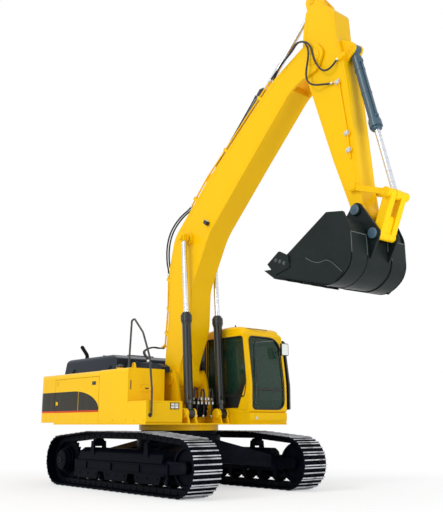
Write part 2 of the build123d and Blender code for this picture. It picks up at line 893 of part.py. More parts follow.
# Engine hood: a hollow cover with soft edges, and the lower cover in front of it
hood_side = [
    (hood_rear_x, body_top_z + running_gap, 5),
    (hood_front_x, body_top_z + running_gap, 5),
    (hood_front_x - 40, hood_top_z - 90, 60),
    (hood_front_x - 330, hood_top_z, 200),
    (hood_rear_x + 60, hood_top_z, 90),
]
with BuildPart() as hood:
    add(soft_slab(hood_side, -hood_half_width, hood_half_width))
    add(soft_prism(
        [
            (-hood_half_width, body_top_z, 5),
            (hood_half_width, body_top_z, 5),
            (hood_half_width - 40, hood_top_z, 120),
            (-hood_half_width + 40, hood_top_z, 120),
        ],
        hood_rear_x - 10, hood_front_x + 10), mode=Mode.INTERSECT)
    add(slab(
        [(hood_rear_x + hood_wall, body_top_z), (hood_front_x - hood_wall, body_top_z),
         (hood_front_x - 80, hood_top_z - 110), (hood_front_x - 340, hood_top_z - hood_wall),
         (hood_rear_x + 110, hood_top_z - hood_wall)],
        -hood_half_width + 130, hood_half_width - 130), mode=Mode.SUBTRACT)
    add(block((hood_rear_x + 110, hood_front_x - 110), (-roof_inner_y, roof_inner_y),
              (body_top_z, hood_top_z - 180)), mode=Mode.SUBTRACT)
save(hood.part, "engine_hood")

cover_outer_y = girder_inner_y + girder_plate + 60
with BuildPart() as deck_cover:
    add(slab(
        [(hood_front_x + panel_gap, body_top_z - panel_wall), (hood_front_x + panel_gap, body_top_z + 240),
         (tank_front_x - 200, body_top_z + 120), (tank_front_x - 80, body_top_z + 60),
         (tank_front_x - 80, body_top_z - panel_wall)],
        -tank_inner_y, -cover_outer_y))
save(deck_cover.part, "deck_cover")

exhaust_path = [(exhaust_x, exhaust_y, hood_top_z - 5), (exhaust_x, exhaust_y, hood_top_z + 90),
                (exhaust_x - 250, exhaust_y, hood_top_z + 300)]
with BuildPart() as exhaust:
    add(tube(exhaust_path, [90], exhaust_radius))
    add(tube(exhaust_path, [90], exhaust_radius - exhaust_wall), mode=Mode.SUBTRACT)
    add(block((exhaust_x - 90, exhaust_x + 90), (exhaust_y - 90, exhaust_y + 90),
              (hood_top_z - 60, hood_top_z)), mode=Mode.SUBTRACT)
save(exhaust.part, "exhaust")

# Handrail on the tank: a post, a long bow down past the step box and a foot bolted to it
rail_y = -deck_half_width + 90
rail_front_x = step_front_x + 45
with BuildPart() as handrail:
    add(tube(
        [
            (tank_front_x - 120, rail_y, body_top_z),
            (tank_front_x - 120, rail_y, body_top_z + 60),
            (tank_front_x - 60, rail_y, body_top_z + 900),
            (tank_front_x + 30, rail_y, body_top_z + 930),
            (tank_front_x + 330, rail_y, body_top_z + 640),
            (rail_front_x - 90, rail_y, body_top_z + 160),
            (rail_front_x, rail_y, step_top_z + 200),
            (rail_front_x, rail_y, skirt_top_z - 90),
            (step_front_x, rail_y, skirt_top_z - 90),
        ],
        [200, 30, 60, 260, 400, 300, 25], rail_tube_radius))
save(handrail.part, "handrail")

# Cab shell: hollow, with its windows and its door opening cut through
cab_left_y = left_wall_y
cab_side = [
    (cab_rear_x, cab_floor_z, 20),
    (cab_front_x, cab_floor_z, 60),
    (cab_front_x, cab_knee_z, 900),
    (cab_front_x - cab_lean, cab_roof_z - 60, 90),
    (cab_front_x - 300, cab_roof_z, 300),
    (cab_rear_x + 120, cab_roof_z, 200),
    (cab_rear_x, cab_roof_z - 140, 120),
]
side_window = [
    (250, 1750, 40),
    (cab_front_x - 160, 1750, 60),
    (cab_front_x - 110, cab_knee_z, 200),
    (cab_front_x - 220, cab_roof_z - 130, 60),
    (250, cab_roof_z - 130, 40),
]
rear_window_side = [
    (0, 2100, 30),
    (190, 2100, 30),
    (190, cab_roof_z - 160, 30),
    (0, cab_roof_z - 180, 60),
]
door_sill_z = cab_floor_z + 60
door_front_x = cab_front_x - 90
door_opening = [
    (door_rear_x, door_sill_z, 5),
    (door_front_x, door_sill_z, 30),
    (door_front_x, cab_knee_z, 200),
    (door_front_x - 110, cab_roof_z - 130, 60),
    (door_rear_x, cab_roof_z - 130, 12),
]
front_window = [
    (cab_right_y + 70, cab_floor_z + 65, 60),
    (cab_left_y - 70, cab_floor_z + 65, 60),
    (cab_left_y - 80, cab_roof_z - 130, 100),
    (cab_right_y + 80, cab_roof_z - 130, 60),
]
rear_window = [
    (cab_right_y + 120, 2150, 50),
    (cab_left_y - 120, 2150, 50),
    (cab_left_y - 120, cab_roof_z - 230, 50),
    (cab_right_y + 120, cab_roof_z - 230, 50),
]
windscreen_bar = (windscreen_bar_z - 15, windscreen_bar_z + 15)
front_zone = (cab_front_x - 260, cab_front_x + 50)
rear_zone = (cab_rear_x - 50, cab_rear_x + 100)
glass_depth = (cab_wall - glass_thickness) / 2


def cab_body(inset, right_y, left_y):
    """The cab's outer form, or with an inset a smaller one inside it."""
    with BuildPart() as body:
        with BuildSketch(Plane.XZ.offset(-right_y)):
            with BuildLine():
                FilletPolyline(*[(x, z) for x, z, _ in cab_side], radius=fitted_radii(cab_side), close=True)
            make_face()
            if inset:
                offset(amount=-inset)
        extrude(amount=right_y - left_y)
        corner = cab_roof_corner - inset
        add(soft_prism(
            [
                (right_y, cab_floor_z, 5),
                (left_y, cab_floor_z, 5),
                (left_y, cab_roof_z - inset, corner),
                (right_y, cab_roof_z - inset, corner),
            ],
            cab_rear_x - 10, cab_front_x + 10), mode=Mode.INTERSECT)
    return body.part


cab_hinge_x = door_rear_x + 4 * panel_gap
cab_hinge_y = cab_left_y - 2 * panel_gap


def cab_hinge(radius):
    """The pin under the door's rear corner, or with a larger radius its hole in the sill."""
    top = door_sill_z + panel_gap
    return post(cab_hinge_x, cab_hinge_y, top - hinge_pin_depth, top, radius)


with BuildPart() as cab:
    add(cab_body(0, cab_right_y, cab_left_y))
    add(cab_body(cab_wall, cab_right_y + cab_wall, cab_left_y - cab_wall), mode=Mode.SUBTRACT)
    add(soft_slab(side_window, cab_right_y - 5, cab_right_y + cab_wall + 5), mode=Mode.SUBTRACT)
    add(soft_slab(rear_window_side, cab_right_y - 5, cab_left_y + 5), mode=Mode.SUBTRACT)
    add(soft_slab(door_opening, cab_left_y - cab_wall - 5, cab_left_y + 5), mode=Mode.SUBTRACT)
    add(soft_prism(front_window, *front_zone), mode=Mode.SUBTRACT)
    add(soft_prism(rear_window, *rear_zone), mode=Mode.SUBTRACT)
    add(block((cab_front_x - cab_wall, cab_front_x), (cab_right_y + 60, cab_left_y - 60), windscreen_bar))
    add(cab_hinge(hinge_pin_radius + running_gap), mode=Mode.SUBTRACT)
save(cab.part, "cab_shell")

# Panes: each fills its opening, midway through the wall
with BuildPart() as cab_glass:
    for zone, outline in ((front_zone, front_window), (rear_zone, rear_window)):
        with BuildPart(mode=Mode.PRIVATE) as pane:
            add(cab_body(glass_depth, cab_right_y, cab_left_y))
            add(cab_body(glass_depth + glass_thickness, cab_right_y - 5, cab_left_y + 5), mode=Mode.SUBTRACT)
            add(soft_prism(outline, *zone), mode=Mode.INTERSECT)
            add(block(front_zone, (cab_right_y, cab_left_y), windscreen_bar), mode=Mode.SUBTRACT)
        add(pane.part)
    for outline, y in (
        (side_window, cab_right_y + glass_depth),
        (rear_window_side, cab_right_y + glass_depth),
        (rear_window_side, cab_left_y - glass_depth - glass_thickness),
    ):
        add(soft_slab(outline, y, y + glass_thickness))
save(cab_glass.part, "cab_glass")

# Cab door, modelled shut and then turned about its hinge to stand ajar
door_leaf = [
    (door_rear_x + 2 * panel_gap, door_sill_z + panel_gap, 5),
    (door_front_x - panel_gap, door_sill_z + panel_gap, 30),
    (door_front_x - panel_gap, cab_knee_z, 200),
    (door_front_x - 110 - panel_gap, cab_roof_z - 130 - panel_gap, 60),
    (door_rear_x + 2 * panel_gap, cab_roof_z - 130 - panel_gap, 40),
]
door_window = [
    (door_rear_x + 90, 1700, 40),
    (door_front_x - 80, 1700, 50),
    (door_front_x - 80, cab_knee_z, 200),
    (door_front_x - 180, cab_roof_z - 220, 60),
    (door_rear_x + 90, cab_roof_z - 220, 40),
]


def ajar(piece):
    """Turns a piece of the shut door about the hinge."""
    return piece.rotate(Axis((cab_hinge_x, cab_hinge_y, 0), (0, 0, 1)), door_ajar)


with BuildPart() as shut_door:
    add(soft_slab(door_leaf, cab_left_y - cab_wall, cab_left_y))
    add(soft_slab(door_window, cab_left_y - cab_wall - 5, cab_left_y + 5), mode=Mode.SUBTRACT)
    add(block((door_front_x - 70, door_front_x - 30), (cab_left_y, cab_left_y + 45), (1750, 1950)))
    add(block((door_front_x - 70, door_front_x - 30), (cab_left_y - 1, cab_left_y + 30), (1780, 1920)),
        mode=Mode.SUBTRACT)
    add(cab_hinge(hinge_pin_radius))
with BuildPart() as cab_door:
    add(ajar(shut_door.part))
save(cab_door.part, "cab_door")

with BuildPart() as door_glass:
    add(ajar(soft_slab(door_window, cab_left_y - cab_wall / 2 - glass_thickness / 2,
                       cab_left_y - cab_wall / 2 + glass_thickness / 2)))
save(door_glass.part, "cab_door_glass")

# Operator's seat on its pedestal, the consoles and joysticks beside it, travel levers and monitor
console_top_z = cab_floor_z + cab_wall + console_height
cab_inner_floor = cab_floor_z + cab_wall
seat_top_z = cab_inner_floor + seat_height
seat_right_y, seat_left_y = seat_y - seat_width / 2, seat_y + seat_width / 2
with BuildPart() as seat:
    add(block((seat_rear_x + 60, seat_rear_x + 440), (seat_right_y + 60, seat_left_y - 60),
              (cab_inner_floor, seat_top_z - 100)))
    add(soft_slab(
        [
            (seat_rear_x, seat_top_z - 100, 30),
            (seat_rear_x + 510, seat_top_z - 100, 40),
            (seat_rear_x + 530, seat_top_z + 20, 40),
            (seat_rear_x + 130, seat_top_z, 60),
            (seat_rear_x + 20, seat_top_z + 620, 50),
            (seat_rear_x - 90, seat_top_z + 620, 50),
        ],
        seat_right_y, seat_left_y))
    add(soft_slab(
        [
            (seat_rear_x - 90, seat_top_z + 650, 40),
            (seat_rear_x + 10, seat_top_z + 650, 40),
            (seat_rear_x - 10, seat_top_z + 820, 40),
            (seat_rear_x - 100, seat_top_z + 820, 40),
        ],
        seat_y - 130, seat_y + 130))
    add(block((seat_rear_x - 60, seat_rear_x - 30), (seat_y - 40, seat_y + 40), (seat_top_z + 600, seat_top_z + 670)))
    for side in (-1, 1):
        near = seat_y + side * (seat_width / 2 + 10)
        low, high = span_of(near, near + side * 110)
        add(soft_slab(
            [
                (seat_rear_x + 80, cab_inner_floor, 5),
                (seat_rear_x + 420, cab_inner_floor, 40),
                (seat_rear_x + 620, console_top_z - 60, 40),
                (seat_rear_x + 620, console_top_z, 30),
                (seat_rear_x + 80, console_top_z, 40),
            ],
            low, high))
        add(post(seat_rear_x + 560, (low + high) / 2, console_top_z, console_top_z + 150, 18))
        add(post(seat_rear_x + 560, (low + high) / 2, console_top_z + 90, console_top_z + 190, 27))
        lever_y = seat_y + side * 90
        add(tube(
            [(seat_rear_x + 830, lever_y, cab_inner_floor), (seat_rear_x + 830, lever_y, cab_inner_floor + 400),
             (seat_rear_x + 730, lever_y, cab_inner_floor + 640)], [120], 14))
    add(block((cab_front_x - 210, cab_front_x - 160), (cab_right_y + 90, cab_right_y + 290), (2050, 2210)))
    add(block((cab_front_x - 170, cab_front_x - 80), (cab_right_y + cab_wall, cab_right_y + 110), (2090, 2150)))
save(seat.part, "operator_seat")

# Mirror on an arm from the cab's front left pillar
mirror_z = 2700
with BuildPart() as mirror:
    add(block((cab_front_x - 160, cab_front_x + 70), (cab_left_y - 60, cab_left_y - 40), (mirror_z - 10, mirror_z + 10)))
    add(soft_prism(
        [
            (cab_left_y - 210, mirror_z - 130, 30),
            (cab_left_y - 10, mirror_z - 130, 30),
            (cab_left_y - 10, mirror_z + 120, 30),
            (cab_left_y - 210, mirror_z + 120, 30),
        ],
        cab_front_x + 50, cab_front_x + 90))
    add(cab_body(0, cab_right_y, cab_left_y), mode=Mode.SUBTRACT)
save(mirror.part, "cab_mirror")

# Boom: a closed box that bends at the knee, with a fork at its tip and steel pipes on its back
lower_pipe = [(253, 832), (345, 660 + pipe_lift), (1010, 1040 + pipe_lift), (1560, 1430 + pipe_lift)]
upper_pipe = [
    (3150, 1600 + pipe_lift),
    (arm_cylinder_foot_u + 34, boom_back_v + pipe_lift),
    (boom_length - 700, 800 + pipe_lift),
]
pipe_rows = (boom_half_width - 40, boom_half_width - 100)
clamp_margin = 20
pipe_clamps = (
    (560, 780),
    (1010, 1035),
    (1500, 1400),
    (3300, 1590),
    (4500, 1273),
    (5700, 910),
)
boom_corners = [
    (-40, 430, 120),
    (1000, 1035, 900),
    (1700, 1545, 900),
    (2350, 1790, 600),
    (arm_cylinder_foot_u + 34, boom_back_v, 2600),
    (boom_length - 680, 795, 1500),
    (boom_length + 120, 345, 200),
    (boom_length + 250, 60, 150),
    (boom_length + 170, -190, 150),
    (boom_length - 160, -230, 200),
    (boom_length - 610, 185, 900),
    (boom_length - 2260, 500, 2600),
    (2900, 785, 1300),
    (1750, 640, 700),
    (1050, 190, 600),
    (250, 30, 300),
    (60, -190, 120),
    (-190, -60, 150),
]
fork_inner = boom_half_width - fork_plate
arm_sweep_notch = [
    (boom_length - 870, 1100),
    (boom_length - 665, 640),
    (boom_length - 570, 380),
    (boom_length, 380),
    (boom_length, 1100),
]
with BuildPart() as boom:
    add(soft_slab([(*on_boom(u, v), r) for u, v, r in boom_corners], -boom_half_width, boom_half_width))
    add(drum(boom_tip, fork_depth, -fork_inner, fork_inner), mode=Mode.SUBTRACT)
    add(slab([on_boom(u, v) for u, v in arm_sweep_notch], -fork_inner, fork_inner), mode=Mode.SUBTRACT)
    foot_half = girder_inner_y - running_gap
    add(drum(boom_foot, boom_foot_radius, -foot_half, foot_half))
    for side in (-1, 1):
        add(drum(boom_cylinder_eye, 130, 0, side * (boom_half_width + 45)))
        add(drum(boom_tip, 150, side * fork_inner, side * (boom_half_width + 15)))
        low, high = span_of(side * lug_inner, side * lug_outer)
        u, v = arm_cylinder_foot_u, arm_cylinder_foot_v
        add(soft_slab(
            [
                (*on_boom(u - 420, v - 250), 5),
                (*on_boom(u - 90, v + 100), 120),
                (*on_boom(u + 90, v + 100), 120),
                (*on_boom(u + 190, v - 260), 5),
            ],
            low, high))
    add(drum(arm_cylinder_foot, pin_radius, -lug_outer, lug_outer))
    for y in pipe_rows:
        for row in (lower_pipe, upper_pipe):
            bends = [60, 900][4 - len(row):]
            add(tube([(on_boom(u, v)[0], -y, on_boom(u, v)[1]) for u, v in row], bends, pipe_radius))
    for u, v in pipe_clamps:
        low, high = -pipe_rows[0] - clamp_margin, -pipe_rows[1] + clamp_margin
        add(slab([on_boom(u - 30, v - 25), on_boom(u + 30, v - 25), on_boom(u + 30, v + pipe_lift + 24),
                  on_boom(u - 30, v + pipe_lift + 24)], low, high))
save(boom.part, "boom")

# Hoses: over the boom's knee, across the arm's joint, behind the boom's foot and in front of it
knee_route = [(1560, 1540), (1660, 1611), (1780, 1790), (2080, 2010), (2420, 2070), (2800, 1930), (3052, 1728),
              (3150, 1710)]
with BuildPart() as boom_hoses:
    for y in pipe_rows:
        add(tube([(on_boom(u, v)[0], -y, on_boom(u, v)[1]) for u, v in knee_route],
                 [150, 200, 350, 500, 500, 300], hose_radius))
save(boom_hoses.part, "boom_hoses")

hose_start = (boom_length - 699.4, 799.8 + pipe_lift)
arm_hose_routes = [
    (
        [(*hose_start, pipe_rows[0]), (boom_length - 595, 878, pipe_rows[0]), (boom_length - 360, 700, 290),
         (boom_length - 45, 570, 290)],
        [(-496, -265, 290), (-434, -127, 290), (-327, -5, 290), (-161, 45, 290), (142, 25, 290),
         (432, 131, 290), (492, 257, 290), (460, 370, 270), (380, 420, 222), (380, 469, 222)],
    ),
    (
        [(*hose_start, pipe_rows[1]), (boom_length - 595, 878, pipe_rows[1]), (boom_length - 380, 680, 332),
         (boom_length - 60, 500, 332)],
        [(-436, -204, 332), (-385, -64, 332), (-246, -5, 332), (-85, -4, 332), (66, -76, 332),
         (226, -164, 332), (354, -204, 332), (482, -180, 332), (590, -90, 320), (650, 40, 270),
         (690, 136, 224), (734.6, 229.2, 224)],
    ),
]
with BuildPart() as arm_hoses:
    for on_the_boom, on_the_arm in arm_hose_routes:
        points = [(on_boom(u, v)[0], -y, on_boom(u, v)[1]) for u, v, y in on_the_boom]
        points += [(on_arm(u, v)[0], -y, on_arm(u, v)[1]) for u, v, y in on_the_arm]
        add(tube(points, [160] * (len(points) - 2), hose_radius))
save(arm_hoses.part, "arm_hoses")

cover_start_x = -340
cover_start_z = body_top_z + 242 - 120 * (cover_start_x - hood_front_x) / (tank_front_x - 200 - hood_front_x)
swing_hose_rows = ((-230, -120, 1950, 780), (-30, 80, 1930, 740), (150, 260, 1940, 780))
with BuildPart() as base_hoses:
    for y, shift in zip(pipe_rows, (0, 2 * hose_radius + 10)):
        x, z = on_boom(*lower_pipe[0])
        add(tube(
            [
                (cover_start_x + shift, -560, cover_start_z),
                (cover_start_x + shift, -560, cover_start_z + 60),
                (-520 + shift, -560, cover_start_z + 200),
                (-600 + shift, -480, z - 60),
                (-520 + shift, -330, z + 10),
                (x - 80, -y, z - 29),
                (x - 1, -y, z - 0.4),
            ],
            [60, 150, 120, 100, 80], hose_radius))
    for near, far, top, x in swing_hose_rows:
        foot_z = engine_seat_z + 20
        add(tube(
            [(boom_foot_x + 220, near, foot_z), (x - 90, near, foot_z), (x, near + 10, foot_z + 200),
             (x, near + 20, top), (x, far - 20, top), (x, far - 10, foot_z + 160), (x - 60, far, foot_z - 160)],
            [70, 70, 38, 38, 70], hose_radius))
save(base_hoses.part, "base_hoses")

# Arm: a tapering box hung in the boom's fork, with a forked rear end and lugs for the bucket cylinder
arm_corners = [
    (arm_rear_u, 80, 60),
    (-640, -95, 300),
    (-20, -330, 200),
    (300, -285, 200),
    (arm_length - 1090, -207, 3000),
    (arm_length - 80, -120, 80),
    (arm_length + 120, -110, 100),
    (arm_length + 130, 100, 100),
    (arm_length - 440, 178, 600),
    (900, arm_face_v - 55, 900),
    (500, arm_face_v - 5, 60),
    (-60, arm_face_v + 5, 80),
    (-580, 650, 150),
    (arm_rear_u + 40, 430, 100),
]
slot_end_u = arm_rear_u + arm_slot_depth
arm_pipe_y = -arm_half_width - 24
arm_pipe_rows = (
    ([(735, 230), (790, 345), (1780, 225), (2100, 165), (2230, 150)], [60, 900, 900]),
)
arm_pipe_clamps = ((790, 290, 375), (1778, 180, 270), (2080, 125, 215), (380, 470, 640))
arm_slot = [(arm_cylinder_eye_u - 260, -400), (slot_end_u, -400), (slot_end_u, 345),
            (arm_cylinder_eye_u - 260, 345)]
with BuildPart() as arm:
    add(soft_slab([(*on_arm(u, v), r) for u, v, r in arm_corners], -arm_half_width, arm_half_width))
    add(slab([on_arm(u, v) for u, v in arm_slot], -lug_inner - 2, lug_inner + 2), mode=Mode.SUBTRACT)
    add(drum(boom_tip, arm_boss_radius, -fork_inner + running_gap, fork_inner - running_gap))
    add(drum(bucket_pin, arm_end_radius - 10, -ear_inner_y + running_gap, ear_inner_y - running_gap))
    add(drum(bucket_cylinder_foot, pin_radius, -lug_outer, lug_outer))
    add(drum(idler_pivot, link_radius, -arm_half_width - 20, arm_half_width + 20))
    for side in (-1, 1):
        low, high = span_of(side * (lug_inner + 2), side * (lug_outer + 2))
        add(link_plate([arm_cylinder_eye, on_arm(arm_rear_u + 100, 330), on_arm(arm_rear_u + 300, 150)],
                       [150, 150, 100], low, high))
        low, high = span_of(side * lug_inner, side * lug_outer)
        add(link_plate([bucket_cylinder_foot, on_arm(60, arm_face_v - 25), on_arm(430, arm_face_v - 125)],
                       [105, 80, 80], low, high))
    for route, bends in arm_pipe_rows:
        add(tube([(on_arm(u, v)[0], arm_pipe_y, on_arm(u, v)[1]) for u, v in route], bends, pipe_radius - 4))
    for u, low, high in arm_pipe_clamps:
        add(slab([on_arm(u - 35, low), on_arm(u + 35, low), on_arm(u + 35, high), on_arm(u - 35, high)],
                 arm_pipe_y - 20, -arm_half_width))
save(arm.part, "arm")

# Bucket: a rolled shell between two side plates, ears on its back, cutters and teeth on its lip
shell_path = [(300, 25), (20, 210), (-25, 470), (200, bucket_depth - 90), (660, bucket_depth), (1640, 300)]
shell_bends = [40, 420, 380, 450]
side_face = [
    (250, -45, 30),
    (-45, 150, 40),
    (-40, 460, 420),
    (200, bucket_depth - 90, 380),
    (660, bucket_depth, 450),
    (1640, 300, 20),
    (1500, 110, 60),
]
cutter_face = [(1240, 130), (1374, -40), (1400, -55), (1720, -5), (1640, 260), (1300, 330)]
wear_face = [(1450, 160), (939, 383), (831, 541), (717, 628), (542, 661), (400, 1030), (660, bucket_depth - 20), (1600, 300)]
ear_face = [(60, -100), (-60, 300), (-215, 560), (-150, 660), (120, 860), (260, 560), (290, 10)]
mouth_side = [(1300, -100)]
half = bucket_width / 2
with BuildPart() as bucket:
    for side in (-1, 1):
        low, high = span_of(side * ear_inner_y, side * (ear_inner_y + ear_plate))
        add(link_plate([bucket_pin, bucket_link_pin], [120, 105], low, high))
        add(slab([on_bucket(u, v) for u, v in ear_face], low, high))
    add(slab([on_bucket(u, v) for u, v in shell_path + mouth_side], -half, half), mode=Mode.SUBTRACT)
    with BuildSketch(Plane.XZ.offset(half)):
        with BuildLine():
            rolled = FilletPolyline(*[on_bucket(u, v) for u, v in shell_path], radius=shell_bends)
            offset(rolled, amount=bucket_wall, side=Side.RIGHT)
        make_face()
    extrude(amount=-bucket_width)
    for side in (-1, 1):
        outer = side * half
        add(soft_slab([(*on_bucket(u, v), r) for u, v, r in side_face],
                      *span_of(outer, outer - side * bucket_wall)))
        add(slab([on_bucket(u, v) for u, v in cutter_face], *span_of(outer, outer + side * 30)))
        add(slab([on_bucket(u, v) for u, v in wear_face], *span_of(outer, outer + side * 12)))
        for pin in (bucket_pin, bucket_link_pin):
            add(drum(pin, ear_boss_radius, side * ear_inner_y, side * (ear_inner_y + ear_plate + 40)))
    for k in range(tooth_count):
        y = -half + 90 + k * (bucket_width - 180) / (tooth_count - 1)
        add(slab([on_bucket(u, v) for u, v in ((1430, 470), (1700, 300), (tooth_reach, 0), (1660, 120), (1520, 300))],
                 y - tooth_width / 2, y + tooth_width / 2))
save(bucket.part, "bucket")


def make_barrel(start, end, y, radius, length, rod_radius):
    """A hollow barrel with its foot eye, its gland head and the band that holds its oil pipe."""
    with BuildPart() as barrel:
        add(drum(start, radius + 12, y - eye_half_width, y + eye_half_width))
        add(along(start, end, y, [(0, eye_neck, eye_half_width - 4), (eye_neck - 30, length, radius),
                                  (length - gland_length, length - 45, radius + 24),
                                  (length - 45, length, radius - 8),
                                  (length - gland_length - 40, length - gland_length, radius + 12)]))
        add(along(start, end, y, [(eye_neck, length - 60, radius - barrel_wall),
                                  (length - 61, length + 5, rod_radius + running_gap)]), mode=Mode.SUBTRACT)
        add(drum(start, pin_radius + running_gap, y - eye_half_width - 1, y + eye_half_width + 1),
            mode=Mode.SUBTRACT)
    return barrel.part


def make_rod(start, end, y, closed_length, rod_radius, pin_half):
    """A rod from its piston end inside the barrel to its eye and pin."""
    span = hypot(end[0] - start[0], end[1] - start[1])
    reach = closed_length - eye_neck - 20
    with BuildPart() as rod:
        add(along(start, end, y, [(span - reach, span, rod_radius)]))
        half_eye = eye_half_width - eye_play
        add(drum(end, rod_radius * 1.7, y - half_eye, y + half_eye))
        add(drum(end, pin_radius, y - pin_half, y + pin_half))
    return rod.part


with BuildPart() as boom_barrels:
    for side in (-1, 1):
        add(make_barrel(boom_cylinder_foot, boom_cylinder_eye, side * boom_cylinder_y, boom_cylinder_radius,
                        boom_barrel_length, boom_rod_radius))
save(boom_barrels.part, "boom_barrels")

with BuildPart() as boom_rods:
    for side in (-1, 1):
        add(make_rod(boom_cylinder_foot, boom_cylinder_eye, side * boom_cylinder_y, boom_cylinder_closed,
                     boom_rod_radius, boom_cylinder_y - boom_half_width - 50))
save(boom_rods.part, "boom_rods")

with BuildPart() as arm_barrel:
    add(make_barrel(arm_cylinder_foot, arm_cylinder_eye, 0, arm_cylinder_radius, arm_barrel_length, arm_rod_radius))
save(arm_barrel.part, "arm_barrel")

with BuildPart() as arm_rod:
    add(make_rod(arm_cylinder_foot, arm_cylinder_eye, 0, arm_cylinder_closed, arm_rod_radius, eye_half_width - 5))
save(arm_rod.part, "arm_rod")

with BuildPart() as bucket_barrel:
    add(make_barrel(bucket_cylinder_foot, linkage_pin, 0, bucket_cylinder_radius, bucket_barrel_length,
                    bucket_rod_radius))
save(bucket_barrel.part, "bucket_barrel")

with BuildPart() as bucket_rod:
    add(make_rod(bucket_cylinder_foot, linkage_pin, 0, bucket_cylinder_closed, bucket_rod_radius,
                 eye_half_width - 5))
save(bucket_rod.part, "bucket_rod")

# Idler links: one slim bar with round bosses on each side of the arm's end
link_inner = arm_half_width + 20 + running_gap
with BuildPart() as idler_links:
    for side in (-1, 1):
        inner, outer = side * link_inner, side * (link_inner + 30)
        add(link_plate([idler_pivot, linkage_pin], [link_neck, link_neck], inner, outer))
        for pin in (idler_pivot, linkage_pin):
            add(drum(pin, link_radius, inner, side * link_cap + side * 22))
save(idler_links.part, "idler_links")

# Power link: two cheeks around the rod's eye, a web below the slot and a boss between the bucket's ears
cheek_inner = eye_half_width + 3
cheek_outer = arm_half_width + 20 - running_gap
web_share = 0.42
web_top = tuple(low + (high - low) * web_share for low, high in zip(bucket_link_pin, linkage_pin))
with BuildPart() as power_link:
    for side in (-1, 1):
        add(link_plate([linkage_pin, bucket_link_pin], [link_radius, link_radius],
                       side * cheek_inner, side * (arm_half_width - 5)))
        add(drum(linkage_pin, link_radius, side * cheek_inner, side * cheek_outer))
    add(link_plate([bucket_link_pin, web_top], [link_radius - 20, 45], -cheek_inner, cheek_inner))
    add(drum(bucket_link_pin, link_radius, -ear_inner_y + running_gap, ear_inner_y - running_gap))
save(power_link.part, "power_link")
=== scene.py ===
"""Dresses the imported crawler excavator: procedural finishes for its solids, and the bolts, chains, seals,
hoses, louvres, lamps, seat and wear pieces that they lack. Metres; +X forward, +Y to the cab's side, +Z up.
"""

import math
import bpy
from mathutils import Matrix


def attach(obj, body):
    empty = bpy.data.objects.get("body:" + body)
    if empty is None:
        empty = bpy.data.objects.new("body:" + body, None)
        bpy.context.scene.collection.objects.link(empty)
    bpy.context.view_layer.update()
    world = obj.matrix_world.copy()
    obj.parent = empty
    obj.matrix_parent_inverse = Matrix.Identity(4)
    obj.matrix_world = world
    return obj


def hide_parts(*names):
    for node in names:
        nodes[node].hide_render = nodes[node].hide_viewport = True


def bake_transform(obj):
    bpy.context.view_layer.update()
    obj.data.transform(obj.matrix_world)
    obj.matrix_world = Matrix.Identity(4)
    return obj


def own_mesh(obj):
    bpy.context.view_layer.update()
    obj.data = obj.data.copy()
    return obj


bl_info = {
    "name": "Crawler Excavator Dressing",
    "version": (1, 0, 0),
    "blender": (4, 5, 0),
    "location": "View3D > Sidebar > Excavator",
    "description": "Finishes and small pieces for a crawler excavator's packed solids",
    "category": "Object",
}

from functools import cache

import bmesh
import bpy
from bpy.props import FloatProperty, FloatVectorProperty, PointerProperty
from mathutils import Matrix, Vector

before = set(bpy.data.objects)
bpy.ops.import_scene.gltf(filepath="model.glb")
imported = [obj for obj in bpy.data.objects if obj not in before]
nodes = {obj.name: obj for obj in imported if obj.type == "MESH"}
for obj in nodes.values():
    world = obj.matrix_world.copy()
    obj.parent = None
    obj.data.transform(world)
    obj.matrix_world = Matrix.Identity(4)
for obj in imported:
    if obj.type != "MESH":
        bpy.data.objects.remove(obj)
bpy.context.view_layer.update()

X, Y, Z = Vector((1, 0, 0)), Vector((0, 1, 0)), Vector((0, 0, 1))
SIDES = (("right", -1), ("left", 1))

# Pins and sizes that the solids share
BOOM_FOOT = (0.2, 2.1)
BOOM_ANGLE, BOOM_LENGTH, BOOM_HALF = math.radians(54.45), 6.76, 0.25
ARM_ANGLE, ARM_LENGTH, ARM_HALF = math.radians(-74.86), 3.139, 0.2
BUCKET_ANGLE, BUCKET_HALF = math.radians(-155.75), 0.7
TRACK_Y, SHOE_WIDTH, SHOE_PITCH, SHOE_FACE = 1.3, 0.6, 0.203, 0.0556
WHEEL_X, WHEEL_Z, WHEEL_R = 2.03, 0.5, 0.354
CARRIER_X, CARRIER_Z, CARRIER_R = 0.92, 0.866, 0.078
CAB_FRONT, CAB_RIGHT, CAB_LEFT = 1.55, 0.54, 1.54
CAB_KNEE, CAB_LEAN = 2.0, 0.13
BODY_RIGHT, BODY_TOP, BODY_REAR = -1.49, 2.27, -3.39
DOOR_HINGE = Vector((0.444, 1.528, 0))
DOOR_AJAR = math.radians(14)


def plane(origin, angle):
    """Places (u, v, y) of an upright plane that is turned by the angle."""
    c, s = math.cos(angle), math.sin(angle)
    return lambda u, v, y=0.0: Vector((origin[0] + u * c - v * s, y, origin[1] + u * s + v * c))


def plane_turn(origin, angle):
    """Carries (u, y, v) of such a plane to the machine's frame."""
    return Matrix.Translation((origin[0], 0, origin[1])) @ Matrix.Rotation(-angle, 4, "Y")


on_boom, BOOM_TURN = plane(BOOM_FOOT, BOOM_ANGLE), plane_turn(BOOM_FOOT, BOOM_ANGLE)
BOOM_TIP = tuple(on_boom(BOOM_LENGTH, 0).xz)
on_arm, ARM_TURN = plane(BOOM_TIP, ARM_ANGLE), plane_turn(BOOM_TIP, ARM_ANGLE)
on_bucket = plane(on_arm(ARM_LENGTH, 0).xz, BUCKET_ANGLE)


def links_meet(first, first_length, second, second_length):
    """Where two links meet, to the right of the line from the first pin to the second."""
    line = second - first
    share = (first_length ** 2 - second_length ** 2 + line.length_squared) / (2 * line.length)
    height = math.sqrt(first_length ** 2 - share ** 2)
    way = line.normalized()
    return first + way * share + Vector((-way.y, way.x)) * height


